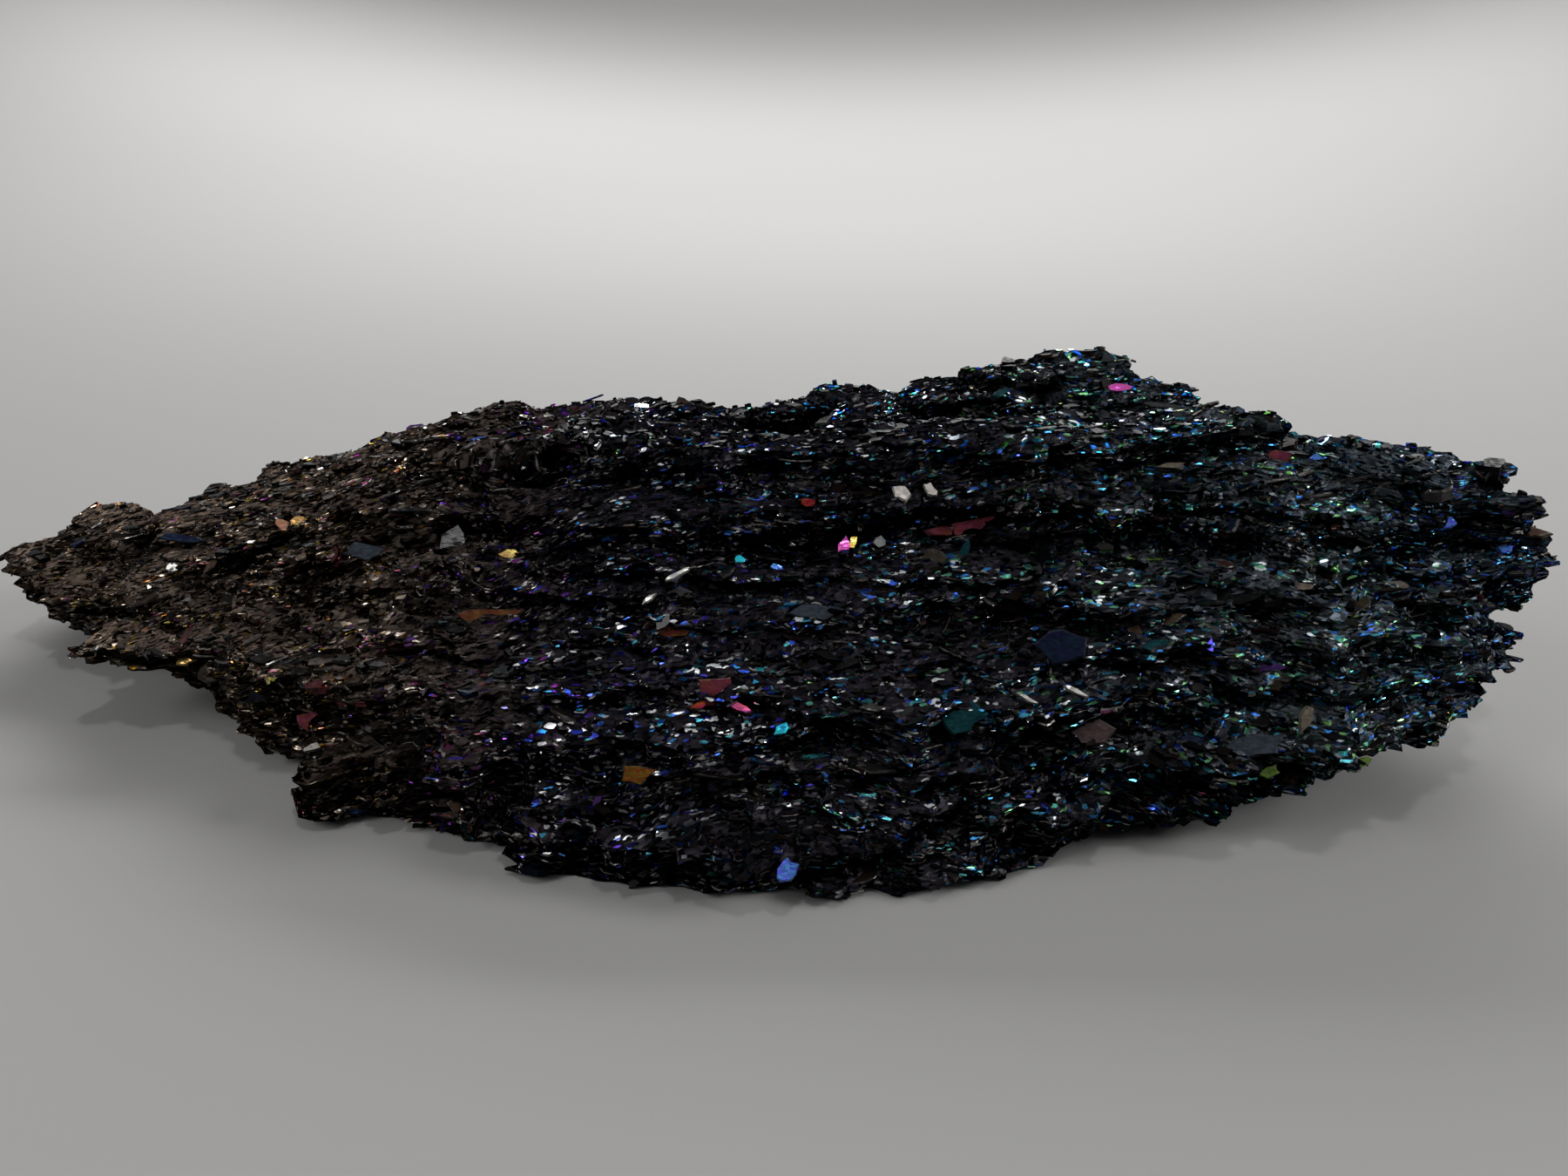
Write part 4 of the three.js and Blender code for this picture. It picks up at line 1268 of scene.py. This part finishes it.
def area_light(name, at, towards, size, power, beam):
    """A rectangular soft light that looks from one place towards another, with a beam in degrees."""
    lamp = bpy.data.lights.new(name, "AREA")
    lamp.shape = "RECTANGLE"
    lamp.size, lamp.size_y = size
    lamp.energy = power
    lamp.spread = math.radians(beam)
    light = bpy.data.objects.new(name, lamp)
    bpy.context.scene.collection.objects.link(light)
    light.location = at
    light.rotation_euler = (Vector(towards) - Vector(at)).to_track_quat("-Z", "Y").to_euler()
    light.visible_camera = False


def soft_sky():
    """A white world that is brighter straight up than it is level."""
    world = bpy.data.worlds.new("studio")
    world.use_nodes = True
    tree = world.node_tree
    direction = add(tree, "ShaderNodeTexCoord").outputs["Generated"]
    axes = add(tree, "ShaderNodeSeparateXYZ", Vector=direction)
    strength = spread(tree, axes.outputs["Z"], (0, 1), SKY)
    set_inputs(tree, tree.nodes["Background"], Color=(1, 1, 1, 1), Strength=strength)
    return world


class CARBORUNDUM_OT_stage(bpy.types.Operator):
    """Set the floor, the soft lights and the camera"""

    bl_idname = "carborundum.stage"
    bl_label = "Stage"

    def execute(self, context):
        _, _, stage = settings_of(context)
        scene = context.scene
        points, rings = bowl(LEVEL_RADIUS, WALL_RADIUS, WALL_BEND)
        floor = mesh_object("floor", points, rings, {}, smooth=True)
        floor_material(stage)
        floor.data.materials.append(bpy.data.materials["pale_floor"])
        for name, at, towards, size, share, beam in LIGHTS:
            area_light(name, at, towards, size, stage.key_power * share, beam)
        scene.world = soft_sky()
        lens = bpy.data.cameras.new("camera")
        lens.sensor_width = SENSOR
        lens.lens = LENS
        lens.clip_start = MM
        camera = bpy.data.objects.new("camera", lens)
        scene.collection.objects.link(camera)
        camera.location = (CAMERA_SIDE, -stage.distance, stage.height)
        camera.rotation_euler = (math.radians(90) - stage.pitch, 0, 0)
        scene.camera = camera
        scene.view_settings.view_transform = "Standard"
        return {"FINISHED"}


class CARBORUNDUM_PT_panel(bpy.types.Panel):
    """Lists the steps that build the chunk, with their settings"""

    bl_label = "Carborundum"
    bl_idname = "CARBORUNDUM_PT_panel"
    bl_space_type = "VIEW_3D"
    bl_region_type = "UI"
    bl_category = "Carborundum"

    def draw(self, context):
        for settings in settings_of(context):
            box = self.layout.box()
            for name in settings.__annotations__:
                box.prop(settings, name)
        for step in STEPS:
            self.layout.operator(step.bl_idname)


STEPS = (
    CARBORUNDUM_OT_crust,
    CARBORUNDUM_OT_splinters,
    CARBORUNDUM_OT_fine_plates,
    CARBORUNDUM_OT_broad_plates,
    CARBORUNDUM_OT_blocks,
    CARBORUNDUM_OT_slabs,
    CARBORUNDUM_OT_laths,
    CARBORUNDUM_OT_facets,
    CARBORUNDUM_OT_clear_crystals,
    CARBORUNDUM_OT_stage,
)
CLASSES = (PlateSettings, FinishSettings, StageSettings, *STEPS, CARBORUNDUM_PT_panel)


def register():
    """Add the classes, and the settings to each scene."""
    for cls in CLASSES:
        bpy.utils.register_class(cls)
    bpy.types.Scene.carborundum_plates = bpy.props.PointerProperty(type=PlateSettings)
    bpy.types.Scene.carborundum_finish = bpy.props.PointerProperty(type=FinishSettings)
    bpy.types.Scene.carborundum_stage = bpy.props.PointerProperty(type=StageSettings)


def unregister():
    """Take the settings and the classes away."""
    del bpy.types.Scene.carborundum_plates
    del bpy.types.Scene.carborundum_finish
    del bpy.types.Scene.carborundum_stage
    for cls in reversed(CLASSES):
        bpy.utils.unregister_class(cls)


def main():
    """Build the chunk and its stage step by step."""
    register()
    bpy.ops.carborundum.crust()
    bpy.ops.carborundum.splinters()
    bpy.ops.carborundum.fine_plates()
    bpy.ops.carborundum.broad_plates()
    bpy.ops.carborundum.blocks()
    bpy.ops.carborundum.slabs()
    bpy.ops.carborundum.laths()
    bpy.ops.carborundum.facets()
    bpy.ops.carborundum.clear_crystals()
    bpy.ops.carborundum.stage()


if __name__ == "__main__":
    main()
